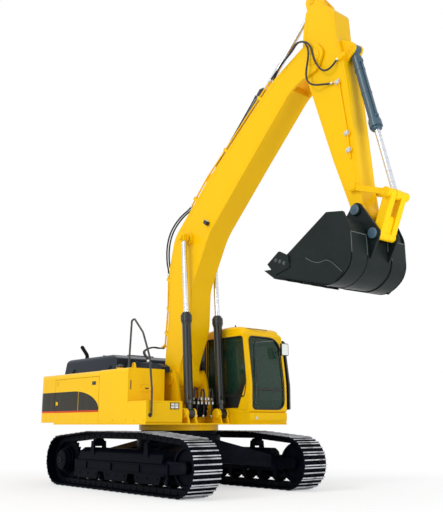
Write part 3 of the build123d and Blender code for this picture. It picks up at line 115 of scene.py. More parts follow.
BOOM_CYLINDER = (Vector((0.85, 0, 1.42)), on_boom(2.548, 1.304))
ARM_CYLINDER = (on_boom(3.796, 1.603), on_arm(-1.206, 0.212))
IDLER_PIVOT = on_arm(ARM_LENGTH - 0.41, 0.044)
LINK_PIN = (-0.116, 0.546)
JOINED = links_meet(IDLER_PIVOT.xz, 0.701, on_bucket(*LINK_PIN).xz, 0.675)
LINKAGE_PIN = Vector((JOINED.x, 0, JOINED.y))
BUCKET_CYLINDER = (on_arm(0.268, 0.684), LINKAGE_PIN)


def tint(name, about, *value):
    return FloatVectorProperty(name=name, description=about, default=value, size=3, min=0, max=1,
                               subtype="COLOR")


def length(name, about, value):
    return FloatProperty(name=name, description=about, unit="LENGTH", default=value)


class PaintSettings(bpy.types.PropertyGroup):
    body: tint("Body yellow", "Machine paint", 0.93, 0.545, 0.002)
    band: tint("Side band", "Dark band along the side panels", 0.028, 0.026, 0.018)
    stripe: tint("Stripe", "Stripe under the side band", 0.82, 0.07, 0.015)
    hood: tint("Hood", "Engine hood paint", 0.012, 0.02, 0.034)
    bucket: tint("Bucket", "Bucket paint", 0.008, 0.013, 0.0125)
    track: tint("Undercarriage", "Track and frame steel", 0.001, 0.0016, 0.0038)
    glass: tint("Glass tint", "Cab glass", 0.014, 0.045, 0.028)
    band_top: length("Band top", "Height of the band's upper edge", 1.885)
    stripe_height: length("Stripe height", "Height of the stripe", 0.034)


class HardwareSettings(bpy.types.PropertyGroup):
    shoe_bolt_radius: length("Shoe bolt", "Radius of a track shoe's bolt", 0.017)
    seal_radius: length("Window seal", "Half the width of a window's rubber seal", 0.014)
    hose_radius: length("Hose", "Radius of a hydraulic hose", 0.017)


class StageSettings(bpy.types.PropertyGroup):
    ambient: FloatProperty(name="Ambient", description="Strength of the studio's even light", default=0.66)
    key: FloatProperty(name="Key", description="Strength of the main lamp", default=0.84)
    lens: FloatProperty(name="Lens", description="Focal length in millimetres", default=51.52)


def operator(operation, reflected=False):
    """A Value's operator, as one Math node."""
    def method(value, other):
        return value.math(operation, *((other, value) if reflected else (value, other)))
    return method


class Value:
    """A number that varies over a surface. Arithmetic on it adds Math nodes to its finish."""

    def __init__(self, finish, socket):
        self.finish, self.socket = finish, socket

    def math(self, operation, *values):
        node = self.finish.node("Math", dict(enumerate(values)), operation=operation)
        return Value(self.finish, node.outputs[0])

    __add__ = __radd__ = operator("ADD")
    __sub__, __rsub__ = operator("SUBTRACT"), operator("SUBTRACT", True)
    __mul__ = __rmul__ = operator("MULTIPLY")
    __truediv__ = operator("DIVIDE")
    __gt__, __lt__ = operator("GREATER_THAN"), operator("LESS_THAN")
    at_least = operator("MAXIMUM")

    def absolute(self):
        return self.math("ABSOLUTE", self)

    def step(self, low, high):
        """0 below low, 1 above high and smooth between."""
        inputs = {"Value": self, "From Min": low, "From Max": high}
        node = self.finish.node("MapRange", inputs, interpolation_type="SMOOTHSTEP")
        return Value(self.finish, node.outputs[0])

    def spread(self, low, high):
        """Stretches 0..1 to low..high."""
        return self * (high - low) + low


class Graph:
    """A node tree. node() takes a type, what feeds its sockets, and its settings."""
    prefix = "ShaderNode"

    def __init__(self, tree):
        self.tree = tree

    def node(self, kind, inputs=None, **settings):
        node = self.tree.nodes.new(kind if "Node" in kind else self.prefix + kind)
        for name, value in settings.items():
            setattr(node, name, value)
        for key, value in (inputs or {}).items():
            self.feed(node.inputs[key], value)
        return node

    def feed(self, socket, value):
        if isinstance(value, Value):
            value = value.socket
        elif isinstance(value, bpy.types.Node):
            value = value.outputs[0]
        if isinstance(value, bpy.types.NodeSocket):
            self.tree.links.new(value, socket)
        elif socket.type == "RGBA" and len(value) == 3:
            socket.default_value = (*value, 1)
        else:
            socket.default_value = value


class Finish(Graph):
    """One material: a Principled shader and the nodes that feed it."""

    def __init__(self, name, **uniform):
        self.material = bpy.data.materials.new(name)
        self.material.use_nodes = True
        super().__init__(self.material.node_tree)
        self.shader = next(n for n in self.tree.nodes if n.type == "BSDF_PRINCIPLED")
        self.assign(uniform)
        self.place = self.node("TexCoord").outputs["Object"]
        self.soft = None

    def assign(self, values):
        for name, value in values.items():
            self.feed(self.shader.inputs[name.replace("_", " ")], value)

    def axes(self):
        return [Value(self, s) for s in self.node("SeparateXYZ", {0: self.place}).outputs]

    def stretched(self, scale, turn=(0, 0, 0)):
        return self.node("Mapping", {"Vector": self.place, "Scale": scale, "Rotation": turn}).outputs[0]

    def noise(self, scale, detail=3, rough=0.55, where=None):
        inputs = {"Vector": where or self.place, "Scale": scale, "Detail": detail, "Roughness": rough}
        return Value(self, self.node("TexNoise", inputs).outputs["Fac"])

    def wave(self, direction, scale, distortion=0.0):
        inputs = {"Vector": self.place, "Scale": scale, "Distortion": distortion}
        return Value(self, self.node("TexWave", inputs, bands_direction=direction).outputs["Fac"])

    def cells(self, scale):
        node = self.node("TexVoronoi", {"Vector": self.place, "Scale": scale})
        return Value(self, node.outputs["Distance"])

    def blend(self, amount, first, second):
        return self.node("Mix", {0: amount, 6: first, 7: second}, data_type="RGBA").outputs[2]

    def bump(self, height, distance, strength):
        inputs = {"Height": height, "Distance": distance, "Strength": strength}
        if self.soft:
            inputs["Normal"] = self.soft
        self.soft = self.node("Bump", inputs).outputs[0]

    def round_edges(self, radius):
        self.soft = self.node("Bevel", {"Radius": radius}, samples=4).outputs[0]

    def finish(self, color, roughness, **varying):
        if self.soft:
            varying["Normal"] = self.soft
        self.assign({"Base_Color": color, "Roughness": roughness, **varying})
        return self.material


# Where the side band lies, in metres. Its colours and those below are linear values
BAND_FOOT, BAND_FRONT, ARCH_START, ARCH_REACH, STRIPE_FRONT = 1.488, -0.666, -1.69, 1.024, -0.64
DOOR_SEAM, SEAM_GAP, OUTER_Y, OUTER_X = -1.48, 0.006, 1.47, -2.9
DUST, SOIL, GRIME_TOP = (0.34, 0.21, 0.05), (0.03, 0.024, 0.02), (1.2, 2.6)


def shade(color, factor):
    return tuple(min(1.0, c * factor) for c in color)


def side_band(coat, base):
    """The dark band with its arched front end and the stripe under it, on the outer faces."""
    settings = bpy.context.scene.excavator_paint
    x, y, z = coat.axes()
    bend = ((x - ARCH_START) / ARCH_REACH).at_least(0)
    rest = (1 - bend * bend).at_least(0)
    arch = rest.math("SQRT", rest) * (settings.band_top - BAND_FOOT) + BAND_FOOT
    outer = (y.absolute() > OUTER_Y) + (x < OUTER_X)
    inside = (z < arch) * (z > BAND_FOOT) * (x < BAND_FRONT) * outer
    seam = (x - DOOR_SEAM).absolute() > SEAM_GAP
    base = coat.blend(inside * seam, base, settings.band)
    stripe = (z < BAND_FOOT) * (z > BAND_FOOT - settings.stripe_height) * (x < STRIPE_FRONT) * outer
    return coat.blend(stripe, base, settings.stripe)


def painted(name, color, banded=False, grime=0.5, edge=0.006, gloss=0.1):
    """Machine paint: a little uneven, faint orange peel, streaks and specks of dust, more of it lower down.
    """
    coat = Finish(name, Coat_Roughness=0.12, Specular_IOR_Level=gloss)
    coat.round_edges(edge)
    base = coat.blend(coat.noise(0.9, 4), shade(color, 0.94), shade(color, 1.05))
    if banded:
        base = side_band(coat, base)
    streaks = coat.noise(5.0, 5, 0.6, coat.stretched((1, 1, 0.12)))
    low = 1 - coat.axes()[2].step(*GRIME_TOP)
    dirt = (streaks.step(0.5, 0.8) * (low * 0.6 + 0.12)) * grime
    specks = coat.noise(42.0, 3, 0.7).step(0.68, 0.8) * 0.25 * grime
    base = coat.blend(dirt * 0.45 + specks * 0.35, base, DUST)
    coat.bump(coat.noise(130.0, 2), 0.0006, 0.5)
    coat.bump(coat.noise(1.7, 2), 0.004, 0.35)
    rough = coat.noise(7.0, 3).spread(0.24, 0.36) + dirt * 0.35
    return coat.finish(base, rough, Coat_Weight=(1 - dirt) * 0.05)


def bare_steel(name, color, rust=0.35):
    """Dark worked steel: smudges of dried soil, rubbed places and a pitted surface."""
    steel = Finish(name, Specular_IOR_Level=0.03)
    steel.round_edges(0.005)
    tone = steel.noise(3.2, 5, 0.6)
    base = steel.blend(tone.step(0.35, 0.75), color, shade(color, 2.1))
    rubbed = steel.noise(24.0, 4, 0.65).step(0.6, 0.78)
    base = steel.blend(rubbed * 0.04, base, (0.16, 0.165, 0.175))
    soil = steel.noise(6.5, 5, 0.62).step(0.56, 0.78) * rust
    base = steel.blend(soil * 0.18, base, SOIL)
    steel.bump(steel.noise(70.0, 4, 0.6), 0.0016, 0.7)
    steel.bump(steel.cells(34.0), 0.0012, 0.4)
    return steel.finish(base, tone.spread(0.34, 0.56) + soil * 0.3, Metallic=rubbed * 0.3 + 0.02)


def grouser_wear_and_highlight(name):
    """Rubbed bare steel, as on a grouser's top or a cutting edge, made brighter than the steel alone as a
    painted highlight on the grousers' tops.
    """
    steel = Finish(name)
    grain = steel.noise(60.0, 4, 0.6, steel.stretched((1, 8, 1)))
    smudge = steel.noise(4.0, 4).step(0.45, 0.7)
    base = steel.blend(grain.spread(0.2, 0.8), (0.5, 0.51, 0.55), (0.8, 0.81, 0.85))
    base = steel.blend(smudge * 0.6, base, (0.05, 0.045, 0.04))
    steel.bump(grain, 0.0008, 0.6)
    return steel.finish(base, grain.spread(0.35, 0.55), Metallic=smudge * 0.3 + 0.25)


def bucket_paint(name, color):
    """Dark satin paint with fine scratches and spots of dust."""
    coat = Finish(name, Coat_Roughness=0.3, Specular_IOR_Level=0.1)
    coat.round_edges(0.006)
    tone = coat.noise(2.2, 4)
    base = coat.blend(tone, shade(color, 0.75), shade(color, 1.5))
    scratch = coat.noise(9.0, 6, 0.7, coat.stretched((1, 14, 1), (0, 0.5, 0))).step(0.66, 0.74)
    dust = coat.noise(12.0, 5, 0.6).step(0.5, 0.85)
    base = coat.blend(scratch * 0.25, base, (0.14, 0.145, 0.14))
    base = coat.blend(dust * 0.1, base, (0.08, 0.08, 0.065))
    coat.bump(coat.noise(90.0, 3), 0.001, 0.6)
    coat.bump(coat.noise(2.4, 2), 0.006, 0.4)
    return coat.finish(base, tone.spread(0.3, 0.46) + dust * 0.15, Coat_Weight=(1 - dust) * 0.06)


def chromed(name):
    """Hard chrome with faint rings of oil."""
    rod = Finish(name)
    film = rod.noise(9.0, 3, 0.5, rod.stretched((0.6, 0.6, 3)))
    base = rod.blend(film.step(0.4, 0.7), (0.74, 0.76, 0.8), (0.6, 0.62, 0.67))
    return rod.finish(base, film.spread(0.06, 0.16), Metallic=film.spread(0.98, 1.0))


def rubber(name, color=(0.011, 0.011, 0.012), rib=0.0):
    """Black rubber with a dusty bloom; hoses get a fine braid."""
    skin = Finish(name, Specular_IOR_Level=0.4)
    tone = skin.noise(18.0, 3)
    base = skin.blend(tone.step(0.45, 0.8), color, shade(color, 3.2))
    if rib:
        skin.bump(skin.wave("DIAGONAL", rib, 0.4), 0.0007, 0.6)
    skin.bump(skin.noise(120.0, 2), 0.0004, 0.6)
    return skin.finish(base, tone.spread(0.38, 0.6))


def tinted(name, color):
    """Green-tinted glass, a little uneven so that its reflections move."""
    pane = Finish(name, Specular_IOR_Level=0.35, IOR=1.5)
    tone = pane.noise(0.8, 3)
    base = pane.blend(tone, shade(color, 0.7), shade(color, 1.5))
    pane.bump(pane.noise(1.1, 2), 0.004, 0.25)
    return pane.finish(base, tone.spread(0.03, 0.07), Alpha=tone.spread(0.64, 0.78))


def fabric(name):
    """Grey woven seat cloth."""
    cloth = Finish(name, Sheen_Weight=0.3, Sheen_Roughness=0.5)
    weave = cloth.wave("X", 160.0) * cloth.wave("Z", 160.0)
    tone = cloth.noise(7.0, 3)
    base = cloth.blend(weave * tone, (0.022, 0.023, 0.026), (0.075, 0.078, 0.085))
    cloth.bump(weave, 0.001, 0.8)
    return cloth.finish(base, tone.spread(0.75, 0.92))


def lamp_glass(name):
    """A lamp's ribbed lens."""
    lens = Finish(name, Specular_IOR_Level=0.7)
    line = lens.wave("Y", 26.0)
    base = lens.blend(line, (0.62, 0.64, 0.62), (0.9, 0.92, 0.9))
    lens.bump(line, 0.002, 0.8)
    return lens.finish(base, line.spread(0.08, 0.2))


def mirror_face(name):
    silver = Finish(name)
    haze = silver.noise(6.0, 3)
    base = silver.blend(haze, (0.75, 0.8, 0.76), (0.86, 0.9, 0.86))
    return silver.finish(base, haze.spread(0.02, 0.08), Metallic=haze.spread(0.92, 1.0))


def plated(name):
    """Zinc-plated fittings and clamps."""
    zinc = Finish(name)
    tone = zinc.noise(30.0, 3)
    base = zinc.blend(tone, (0.5, 0.5, 0.47), (0.72, 0.71, 0.66))
    zinc.bump(tone, 0.0006, 0.5)
    return zinc.finish(base, tone.spread(0.26, 0.42), Metallic=tone.spread(0.75, 0.95))


finishes = {}


def make_finishes():
    paint = bpy.context.scene.excavator_paint
    finishes.update({
        "body": painted("machine_yellow", paint.body),
        "banded": painted("machine_yellow_banded", paint.body, banded=True),
        "hood": painted("hood_satin", paint.hood, grime=0.3, edge=0.012),
        "black": painted("gloss_black", (0.01, 0.013, 0.012), grime=0.15, gloss=0.55),
        "blue_black": painted("cylinder_blue_black", (0.05, 0.1, 0.14), grime=0.15, gloss=0.4),
        "track": bare_steel("track_steel", paint.track),
        "cast": bare_steel("dark_casting", (0.004, 0.0045, 0.0075), rust=0.25),
        # Grouser tops: rubbed steel, made brighter to carry a painted highlight
        "wear_and_painted_highlight": grouser_wear_and_highlight("worn_edge"),
        "bucket": bucket_paint("bucket_satin", paint.bucket),
        # Light finish for the bucket's welds and cutter bolts: rubbed paint, and a painted highlight on the
        # welds' edges
        "rubbed": bucket_paint("bucket_rubbed", (0.085, 0.1, 0.1)),
        "chrome": chromed("hard_chrome"),
        "hose": rubber("hose_braid", rib=60.0),
        "seal": rubber("window_rubber"),
        "glass": tinted("tinted_glass", paint.glass),
        "cloth": fabric("seat_cloth"),
        "lens": lamp_glass("lamp_lens"),
        "mirror": mirror_face("mirror_silver"),
        "zinc": plated("zinc_plate"),
        "plastic": rubber("cab_plastic", (0.03, 0.031, 0.033)),
    })


def placed(name, data):
    """A new object in the scene."""
    thing = bpy.data.objects.new(name, data)
    bpy.context.scene.collection.objects.link(thing)
    return thing


def plain_mesh(thing):
    """The object's mesh with its modifiers applied."""
    bpy.context.view_layer.update()
    return bpy.data.meshes.new_from_object(thing.evaluated_get(bpy.context.evaluated_depsgraph_get()))


def settled(name, mesh, finish, body=None, angle=0.6):
    """Makes a mesh a piece that rides on its body, with sharp edges where it turns by more than the angle."""
    bm = bmesh.new()
    bm.from_mesh(mesh)
    for face in bm.faces:
        face.smooth = True
    for edge in bm.edges:
        edge.smooth = len(edge.link_faces) == 2 and edge.calc_face_angle(0) < angle
    bm.to_mesh(mesh)
    bm.free()
    mesh.name = name
    mesh.materials.clear()
    mesh.materials.append(finishes[finish])
    piece = placed(name, mesh)
    if body:
        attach(piece, body)
    return piece


def hoop(centre, across, over, radius, count, start=0.0):
    """Points round a centre, in the plane of two directions."""
    return [Vector(centre) + (across * math.cos(a) + over * math.sin(a)) * radius
            for a in (start + 2 * math.pi * k / count for k in range(count))]


def ring(centre, axis, radius, count, start=0.0):
    """Points round an axis."""
    across = Z if abs(axis.z) < 0.9 else X
    across = (across - axis * across.dot(axis)).normalized()
    return hoop(centre, across, axis.cross(across), radius, count, start)


class Shape:
    """Gathers the faces of one piece, in the machine's frame."""

    def __init__(self):
        self.bm = bmesh.new()

    def take(self, other, bevel=0.0):
        bmesh.ops.recalc_face_normals(other, faces=other.faces)
        if bevel:
            edges = [e for e in other.edges if len(e.link_faces) == 2 and e.calc_face_angle(0) > 0.5]
            bmesh.ops.bevel(other, geom=edges, offset=bevel, segments=2, affect="EDGES", clamp_overlap=True)
        mesh = bpy.data.meshes.new("part")
        other.to_mesh(mesh)
        other.free()
        self.bm.from_mesh(mesh)
        bpy.data.meshes.remove(mesh)
        return self

    def box(self, low, high, bevel=0.004, turn=None):
        bm = bmesh.new()
        low, high = Vector(low), Vector(high)
        place = Matrix.Translation((low + high) / 2) @ Matrix.Diagonal((*(high - low), 1))
        bmesh.ops.create_cube(bm, size=1, matrix=(turn or Matrix()) @ place)
        return self.take(bm, bevel)

    def skin(self, rows, bevel=0.0, closed=False):
        """Rings of points, each joined to the next. The ends get lids, or join each other if closed."""
        bm = bmesh.new()
        rings = [[bm.verts.new(p) for p in row] for row in rows]
        sides = range(len(rings[0]))
        for first, second in zip(rings, rings[1:] + rings[:closed]):
            shift = 0
            if second is rings[0]:
                shift = min(sides, key=lambda s: (second[s].co - first[0].co).length)
            met = second[shift:] + second[:shift]
            for k in sides:
                bm.faces.new((first[k - 1], first[k], met[k], met[k - 1]))
        if not closed:
            bm.faces.new(rings[0][::-1])
            bm.faces.new(rings[-1])
        return self.take(bm, bevel)

    def prism(self, outline, direction, bevel=0.003):
        """A flat outline of 3-D points, pushed out along a direction."""
        near = [Vector(p) for p in outline]
        return self.skin([near, [p + Vector(direction) for p in near]], bevel)

    def lathe(self, base, axis, profile, sides=32):
        """Rings of (distance along the axis, radius) round a line."""
        axis = axis.normalized()
        across = axis.orthogonal().normalized()
        return self.skin([hoop(Vector(base) + axis * reach, across, axis.cross(across), radius, sides)
                          for reach, radius in profile])

    def tube(self, points, radius, sides=10, closed=False):
        """A round bar through the points, each bend mitred."""
        points = [Vector(p) for p in points]
        before = (points[-1:] if closed else points[:1]) + points
        after = points[1:] + (points[:1] if closed else points[-1:])
        ways = [(b - a).normalized() for a, b in zip(before, after)]
        across = ways[0].orthogonal().normalized()
        rows = []
        for point, way in zip(points, ways):
            across = (across - way * across.dot(way)).normalized()
            rows.append(hoop(point, across, way.cross(across), radius, sides))
        return self.skin(rows, closed=closed)

    def done(self, name, finish, body=None, slot=None, angle=0.6):
        mesh = bpy.data.meshes.new(name)
        self.bm.to_mesh(mesh)
        self.bm.free()
        return settled(name, mesh, finish, body, angle)


def bend(start, corner, end, steps, weight=1.0):
    """Points on the curve from start to end whose ends point at the corner."""
    points = []
    for t in (k / steps for k in range(steps + 1)):
        shares = ((1 - t) ** 2, 2 * t * (1 - t) * weight, t ** 2)
        points.append((start * shares[0] + corner * shares[1] + end * shares[2]) / sum(shares))
    return points


def arc(start, corner, end):
    """The round arc from start to end whose ends point at the corner."""
    start, corner, end = Vector(start), Vector(corner), Vector(end)
    return bend(start, corner, end, 6, math.cos((corner - start).angle(end - corner) / 2))


def rounded(outline, radii, steps=5):
    """The outline's corners as curves. The radii are one number, or a row with one for each corner."""
    points = [Vector(p) for p in outline]
    if not isinstance(radii, tuple):
        radii = [radii] * len(points)
    result = []
    for before, corner, after, radius in zip(points[-1:] + points, points, points[1:] + points[:1], radii):
        back, on = before - corner, after - corner
        cut = min(radius, 0.45 * back.length, 0.45 * on.length)
        result += bend(corner + back.normalized() * cut, corner, corner + on.normalized() * cut, steps)
    return result


def smoothed(points):
    """More points on an open path, its bends rounded."""
    result = [points[0]]
    for before, corner, after in zip(points, points[1:], points[2:]):
        result += bend((before + corner) / 2, corner, (corner + after) / 2, 4)[1:]
    return [*result, points[-1]]


class Tree(Graph):
    """A Geometry Nodes tree with named inputs, set on a modifier by their sockets' identifiers."""
    prefix = "GeometryNode"

    def __init__(self, name, *sizes):
        super().__init__(bpy.data.node_groups.new(name, "GeometryNodeTree"))
        socket = self.tree.interface.new_socket
        kinds = {"Geometry": "Geometry", **{size: "Float" for size in sizes}, "Material": "Material"}
        self.sockets = {label: socket(label, in_out="INPUT", socket_type="NodeSocket" + kind).identifier
                        for label, kind in kinds.items()}
        socket("Geometry", in_out="OUTPUT", socket_type="NodeSocketGeometry")
        self.given = self.tree.nodes.new("NodeGroupInput").outputs
        self.sizes = [self.given[size] for size in sizes]

    def times(self, value, factor):
        return self.node("ShaderNodeMath", {0: value, 1: factor}, operation="MULTIPLY").outputs[0]

    def size(self, x, y, z):
        return self.node("ShaderNodeCombineXYZ", {"X": x, "Y": y, "Z": z})

    def drum(self, sides, radius, depth, x=0.0, z=0.0):
        """An upright cylinder, shifted."""
        made = self.node("MeshCylinder", {"Vertices": sides, "Radius": radius, "Depth": depth})
        return self.node("Transform", {"Geometry": made, "Translation": self.size(x, 0.0, z)})

    def close(self, *forms):
        """Places the forms on every point, their Z along facing and their X along heading."""
        joined = self.node("JoinGeometry")
        for form in forms:
            self.feed(joined.inputs[0], form)
        facing, heading = (self.node("InputNamedAttribute", {"Name": label}, data_type="FLOAT_VECTOR")
                           for label in ("facing", "heading"))
        align = "FunctionNodeAlignRotationToVector"
        up = self.node(align, {"Vector": facing}, axis="Z")
        along = self.node(align, {"Rotation": up, "Vector": heading}, axis="X", pivot_axis="Z")
        spread = self.node("InstanceOnPoints", {"Points": self.given["Geometry"], "Instance": joined,
                                                "Rotation": along})
        real = self.node("RealizeInstances", {0: spread})
        coated = self.node("SetMaterial", {"Geometry": real, "Material": self.given["Material"]})
        self.node("NodeGroupOutput", {0: coated})
        return self


@cache
def bolt_tree():
    """A six-sided head on a round washer."""
    tree = Tree("bolt_rows", "Radius", "Height")
    radius, height = tree.sizes
    thin = tree.times(height, 0.3)
    return tree.close(tree.drum(14, tree.times(radius, 1.45), thin, z=tree.times(thin, 0.5)),
                      tree.drum(6, radius, height, z=tree.times(height, 0.6)))


@cache
def bar_tree():
    """A plain bar: length along heading, height along facing."""
    tree = Tree("bar_rows", "Length", "Width", "Height")
    return tree.close(tree.node("MeshCube", {"Size": tree.size(*tree.sizes)}))


@cache
def link_tree():
    """A track chain's link: a side plate with a pin's end standing out of it."""
    tree = Tree("chain_links", "Pitch", "Height", "Thickness", "Pin")
    pitch, height, thick, pin = tree.sizes
    away = tree.times(pitch, 0.5)
    return tree.close(tree.node("MeshCube", {"Size": tree.size(tree.times(pitch, 0.82), height, thick)}),
                      tree.drum(14, tree.times(pin, 1.7), thick, away, tree.times(thick, 0.3)),
                      tree.drum(12, pin, tree.times(thick, 2.0), away, tree.times(thick, 0.5)))


def repeated(name, tree, places, sizes, finish, body):
    """One piece of repeats: places are (point, facing, heading)."""
    tree = tree()
    mesh = bpy.data.meshes.new(name + "_points")
    mesh.from_pydata([tuple(place[0]) for place in places], [], [])
    for column, label in ((1, "facing"), (2, "heading")):
        attribute = mesh.attributes.new(label, "FLOAT_VECTOR", "POINT")
        for item, place in zip(attribute.data, places):
            item.vector = Vector(place[column])
    holder = placed(name + "_points", mesh)
    modifier = holder.modifiers.new("rows", "NODES")
    modifier.node_group = tree.tree
    for size, value in {**sizes, "Material": finishes[finish]}.items():
        modifier[tree.sockets[size]] = value
    made = plain_mesh(holder)
    holder.modifiers.remove(modifier)
    bpy.data.objects.remove(holder)
    bpy.data.meshes.remove(mesh)
    for attribute in ("facing", "heading"):
        if attribute in made.attributes:
            made.attributes.remove(made.attributes[attribute])
    return settled(name, made, finish, body)


def bolts(name, places, body, finish, radius, height):
    """Bolt heads at (point, facing)."""
    rows = [(point, facing, Vector(facing).orthogonal()) for point, facing in places]
    return repeated(name, bolt_tree, rows, {"Radius": radius, "Height": height}, finish, body)


# The track's pin line, as in the solids: wheels as (x, z, radius)
PIN_HEIGHT = 0.0624
BELT = [(WHEEL_X, WHEEL_Z, WHEEL_R + PIN_HEIGHT), (CARRIER_X, CARRIER_Z, CARRIER_R + PIN_HEIGHT),
        (-CARRIER_X, CARRIER_Z, CARRIER_R + PIN_HEIGHT), (-WHEEL_X, WHEEL_Z, WHEEL_R + PIN_HEIGHT)]


def belt_runs():
    """The pin line as rows of (length, centre or start, radius, angle, end of a straight run)."""
    pairs = list(zip(BELT, BELT[1:] + BELT[:1]))
    leave = [math.atan2(z2 - z, x2 - x) - math.pi / 2 + (r - r2) / math.hypot(x2 - x, z2 - z)
             for (x, z, r), (x2, z2, r2) in pairs]
    runs = []
    for k, ((x, z, r), (x2, z2, r2)) in enumerate(pairs):
        start, end = leave[k - 1], leave[k]
        while end < start:
            end += 2 * math.pi
        way = Vector((math.cos(end), math.sin(end)))
        first, last = Vector((x, z)) + way * r, Vector((x2, z2)) + way * r2
        runs += [(r * (end - start), (x, z), r, start, None), ((last - first).length, first, 0, end, last)]
    return runs


RUNS = belt_runs()
BELT_LENGTH = sum(run[0] for run in RUNS)


def belt_point(distance, outwards, y):
    """A point at a distance along the pin line, and the directions outwards and along."""
    distance = distance % BELT_LENGTH
    for run, first, radius, angle, last in RUNS:
        if distance <= run:
            break
        distance -= run
    if last is None:
        angle += distance / radius
    out = Vector((math.cos(angle), 0, math.sin(angle)))
    flat = first if last is None else first.lerp(last, distance / run)
    return Vector((flat[0], y, flat[1])) + out * (radius + outwards), out, Vector((-out.z, 0, out.x))


# The finish of each solid; those not named are machine yellow
COATS = {
    "track": "track_right track_left track_frame_right track_frame_left track_wheels_right track_wheels_left "
             "final_drive_right final_drive_left",
    "cast": "carbody tow_eyes slew_ring_lower engine_block exhaust",
    "banded": "counterweight right_housing left_housing right_door left_door",
    "hood": "engine_hood deck_cover",
    "black": "handrail cab_door cab_mirror boom_barrels arm_barrel",
    "blue_black": "bucket_barrel",
    "chrome": "boom_rods arm_rod bucket_rod",
    "glass": "cab_glass cab_door_glass",
    "bucket": "bucket",
    "plastic": "operator_seat",
    "hose": "base_hoses boom_hoses arm_hoses",
}


class DressNodes(bpy.types.Operator):
    """Gives every solid its finish"""
    bl_idname = "excavator.dress_nodes"
    bl_label = "Finish the solids"

    def execute(self, context):
        make_finishes()
        finish_of = {name: key for key, names in COATS.items() for name in names.split()}
        for name, node in nodes.items():
            coat = finishes[finish_of.get(name, "body")]
            if not node.material_slots:
                node.data.materials.append(coat)
            for slot in node.material_slots:
                slot.material = coat
        return {"FINISHED"}


class TrackHardware(bpy.types.Operator):
    """Adds the chains, shoe bolts, rubbed grousers with a painted highlight, hub bolts and guards of both
    tracks
    """
    bl_idname = "excavator.track_hardware"
    bl_label = "Track hardware"

    def execute(self, context):
        for side, sign in SIDES:
            y, out = sign * TRACK_Y, Y * sign
            self.shoes(side, y, context.scene.excavator_hardware.shoe_bolt_radius)
            self.hubs(side, y, out)
            self.guards(side, y, sign)
        return {"FINISHED"}

    def shoes(self, side, y, bolt_radius):
        count = round(BELT_LENGTH / SHOE_PITCH)
        step = BELT_LENGTH / count
        studs, tips, links = [], [], []
        for k in range(count):
            for share, offset in ((0.27, -0.09), (0.27, 0.09), (0.72, -0.09), (0.72, 0.09)):
                studs.append(belt_point((k + share) * step, SHOE_FACE + 0.0005, y + offset)[:2])
            for share, lift in ((0.12, 0.0225), (0.52, 0.0165), (0.92, 0.0165)):
                tips.append((*belt_point((k + share) * step, SHOE_FACE + lift, y)[:2], Y))
            for edge in (-1, 1):
                point, _, along = belt_point((k + 0.5) * step, -0.008, y + edge * 0.103)
                links.append((point, Y * edge, along))
        bolts(f"shoe_bolts_{side}", studs, "undercarriage", "track", bolt_radius, 0.014)
        # Bars on the grousers' tops: rubbed steel, brightened as a painted highlight where light falls on the
        # tops
        repeated(f"grouser_tops_{side}", bar_tree, tips,
                 {"Length": SHOE_WIDTH - 0.006, "Width": 0.021, "Height": 0.009}, "wear_and_painted_highlight", "undercarriage")
        repeated(f"chain_links_{side}", link_tree, links,
                 {"Pitch": step, "Height": 0.085, "Thickness": 0.012, "Pin": 0.021}, "cast", "undercarriage")

    def hubs(self, side, y, out):
        drive = Vector((-WHEEL_X, y, WHEEL_Z)) + out * 0.205
        idler = Vector((WHEEL_X, y, WHEEL_Z)) + out * 0.105
        cap = Shape()
        cap.lathe(drive, out, [(-0.004, 0.185), (0.012, 0.18), (0.02, 0.165), (0.02, 0.07), (0.034, 0.062),
                               (0.036, 0.02)])
        cap.lathe(idler, out, [(-0.02, 0.085), (0.03, 0.083), (0.04, 0.07), (0.042, 0.03)])
        for k in range(8):
            roller = Vector((-WHEEL_X + 0.52 + k * 0.438571, y, 0.234)) + out * 0.142
            cap.lathe(roller, out, [(-0.01, 0.052), (0.016, 0.05), (0.024, 0.036)], 20)
        for x in (-CARRIER_X, CARRIER_X):
            carrier = Vector((x, y, CARRIER_Z)) + out * 0.108
            cap.lathe(carrier, out, [(-0.02, 0.04), (0.012, 0.038), (0.016, 0.02)], 20)
        cap.done(f"hub_caps_{side}", "cast", "undercarriage", "track_steel")
        rows = ((drive - out * 0.055, 0.222, 20), (drive + out * 0.02, 0.115, 8),
                (idler + out * 0.03, 0.058, 6))
        places = [(p, out) for centre, radius, count in rows for p in ring(centre, out, radius, count)]
        bolts(f"hub_bolts_{side}", places, "undercarriage", "cast", 0.013, 0.012)

    def guards(self, side, y, sign):
        guard = Shape()
        near, far = y + sign * 0.166, y + sign * 0.186
        for low, high in ((-1.45, -0.6), (-0.42, 0.43), (0.61, 1.46)):
            corners = ((low, 0.34), (low + 0.06, 0.185), (high - 0.06, 0.185), (high, 0.34))
            guard.prism([(x, near, z) for x, z in corners], (0, far - near, 0))
        section = ((0.164, 0.535), (0.12, 0.69), (0.02, 0.765), (-0.15, 0.765), (-0.15, 0.645), (0.0, 0.645))
        guard.prism([(-1.42, y + sign * a, z) for a, z in section], (2.86, 0, 0), 0.008)
        low, high = sorted((y + sign * 0.164, y + sign * 0.184))
        for foot, top in ((0.335, 0.372), (0.505, 0.53)):
            guard.box((-1.5, low, foot), (1.55, high, top), 0.006)
        for x in (-1.1, -0.2, 0.75):
            guard.box((x, low, 0.372), (x + 0.03, high, 0.505))
        guard.done(f"frame_ribs_{side}", "track", "undercarriage")
        places = [((x, far, 0.285), Y * sign) for x in (-1.3, -1.0, -0.7, -0.3, 0.0, 0.3, 0.72, 1.03, 1.33)]
        bolts(f"guard_bolts_{side}", places, "undercarriage", "cast", 0.016, 0.014)


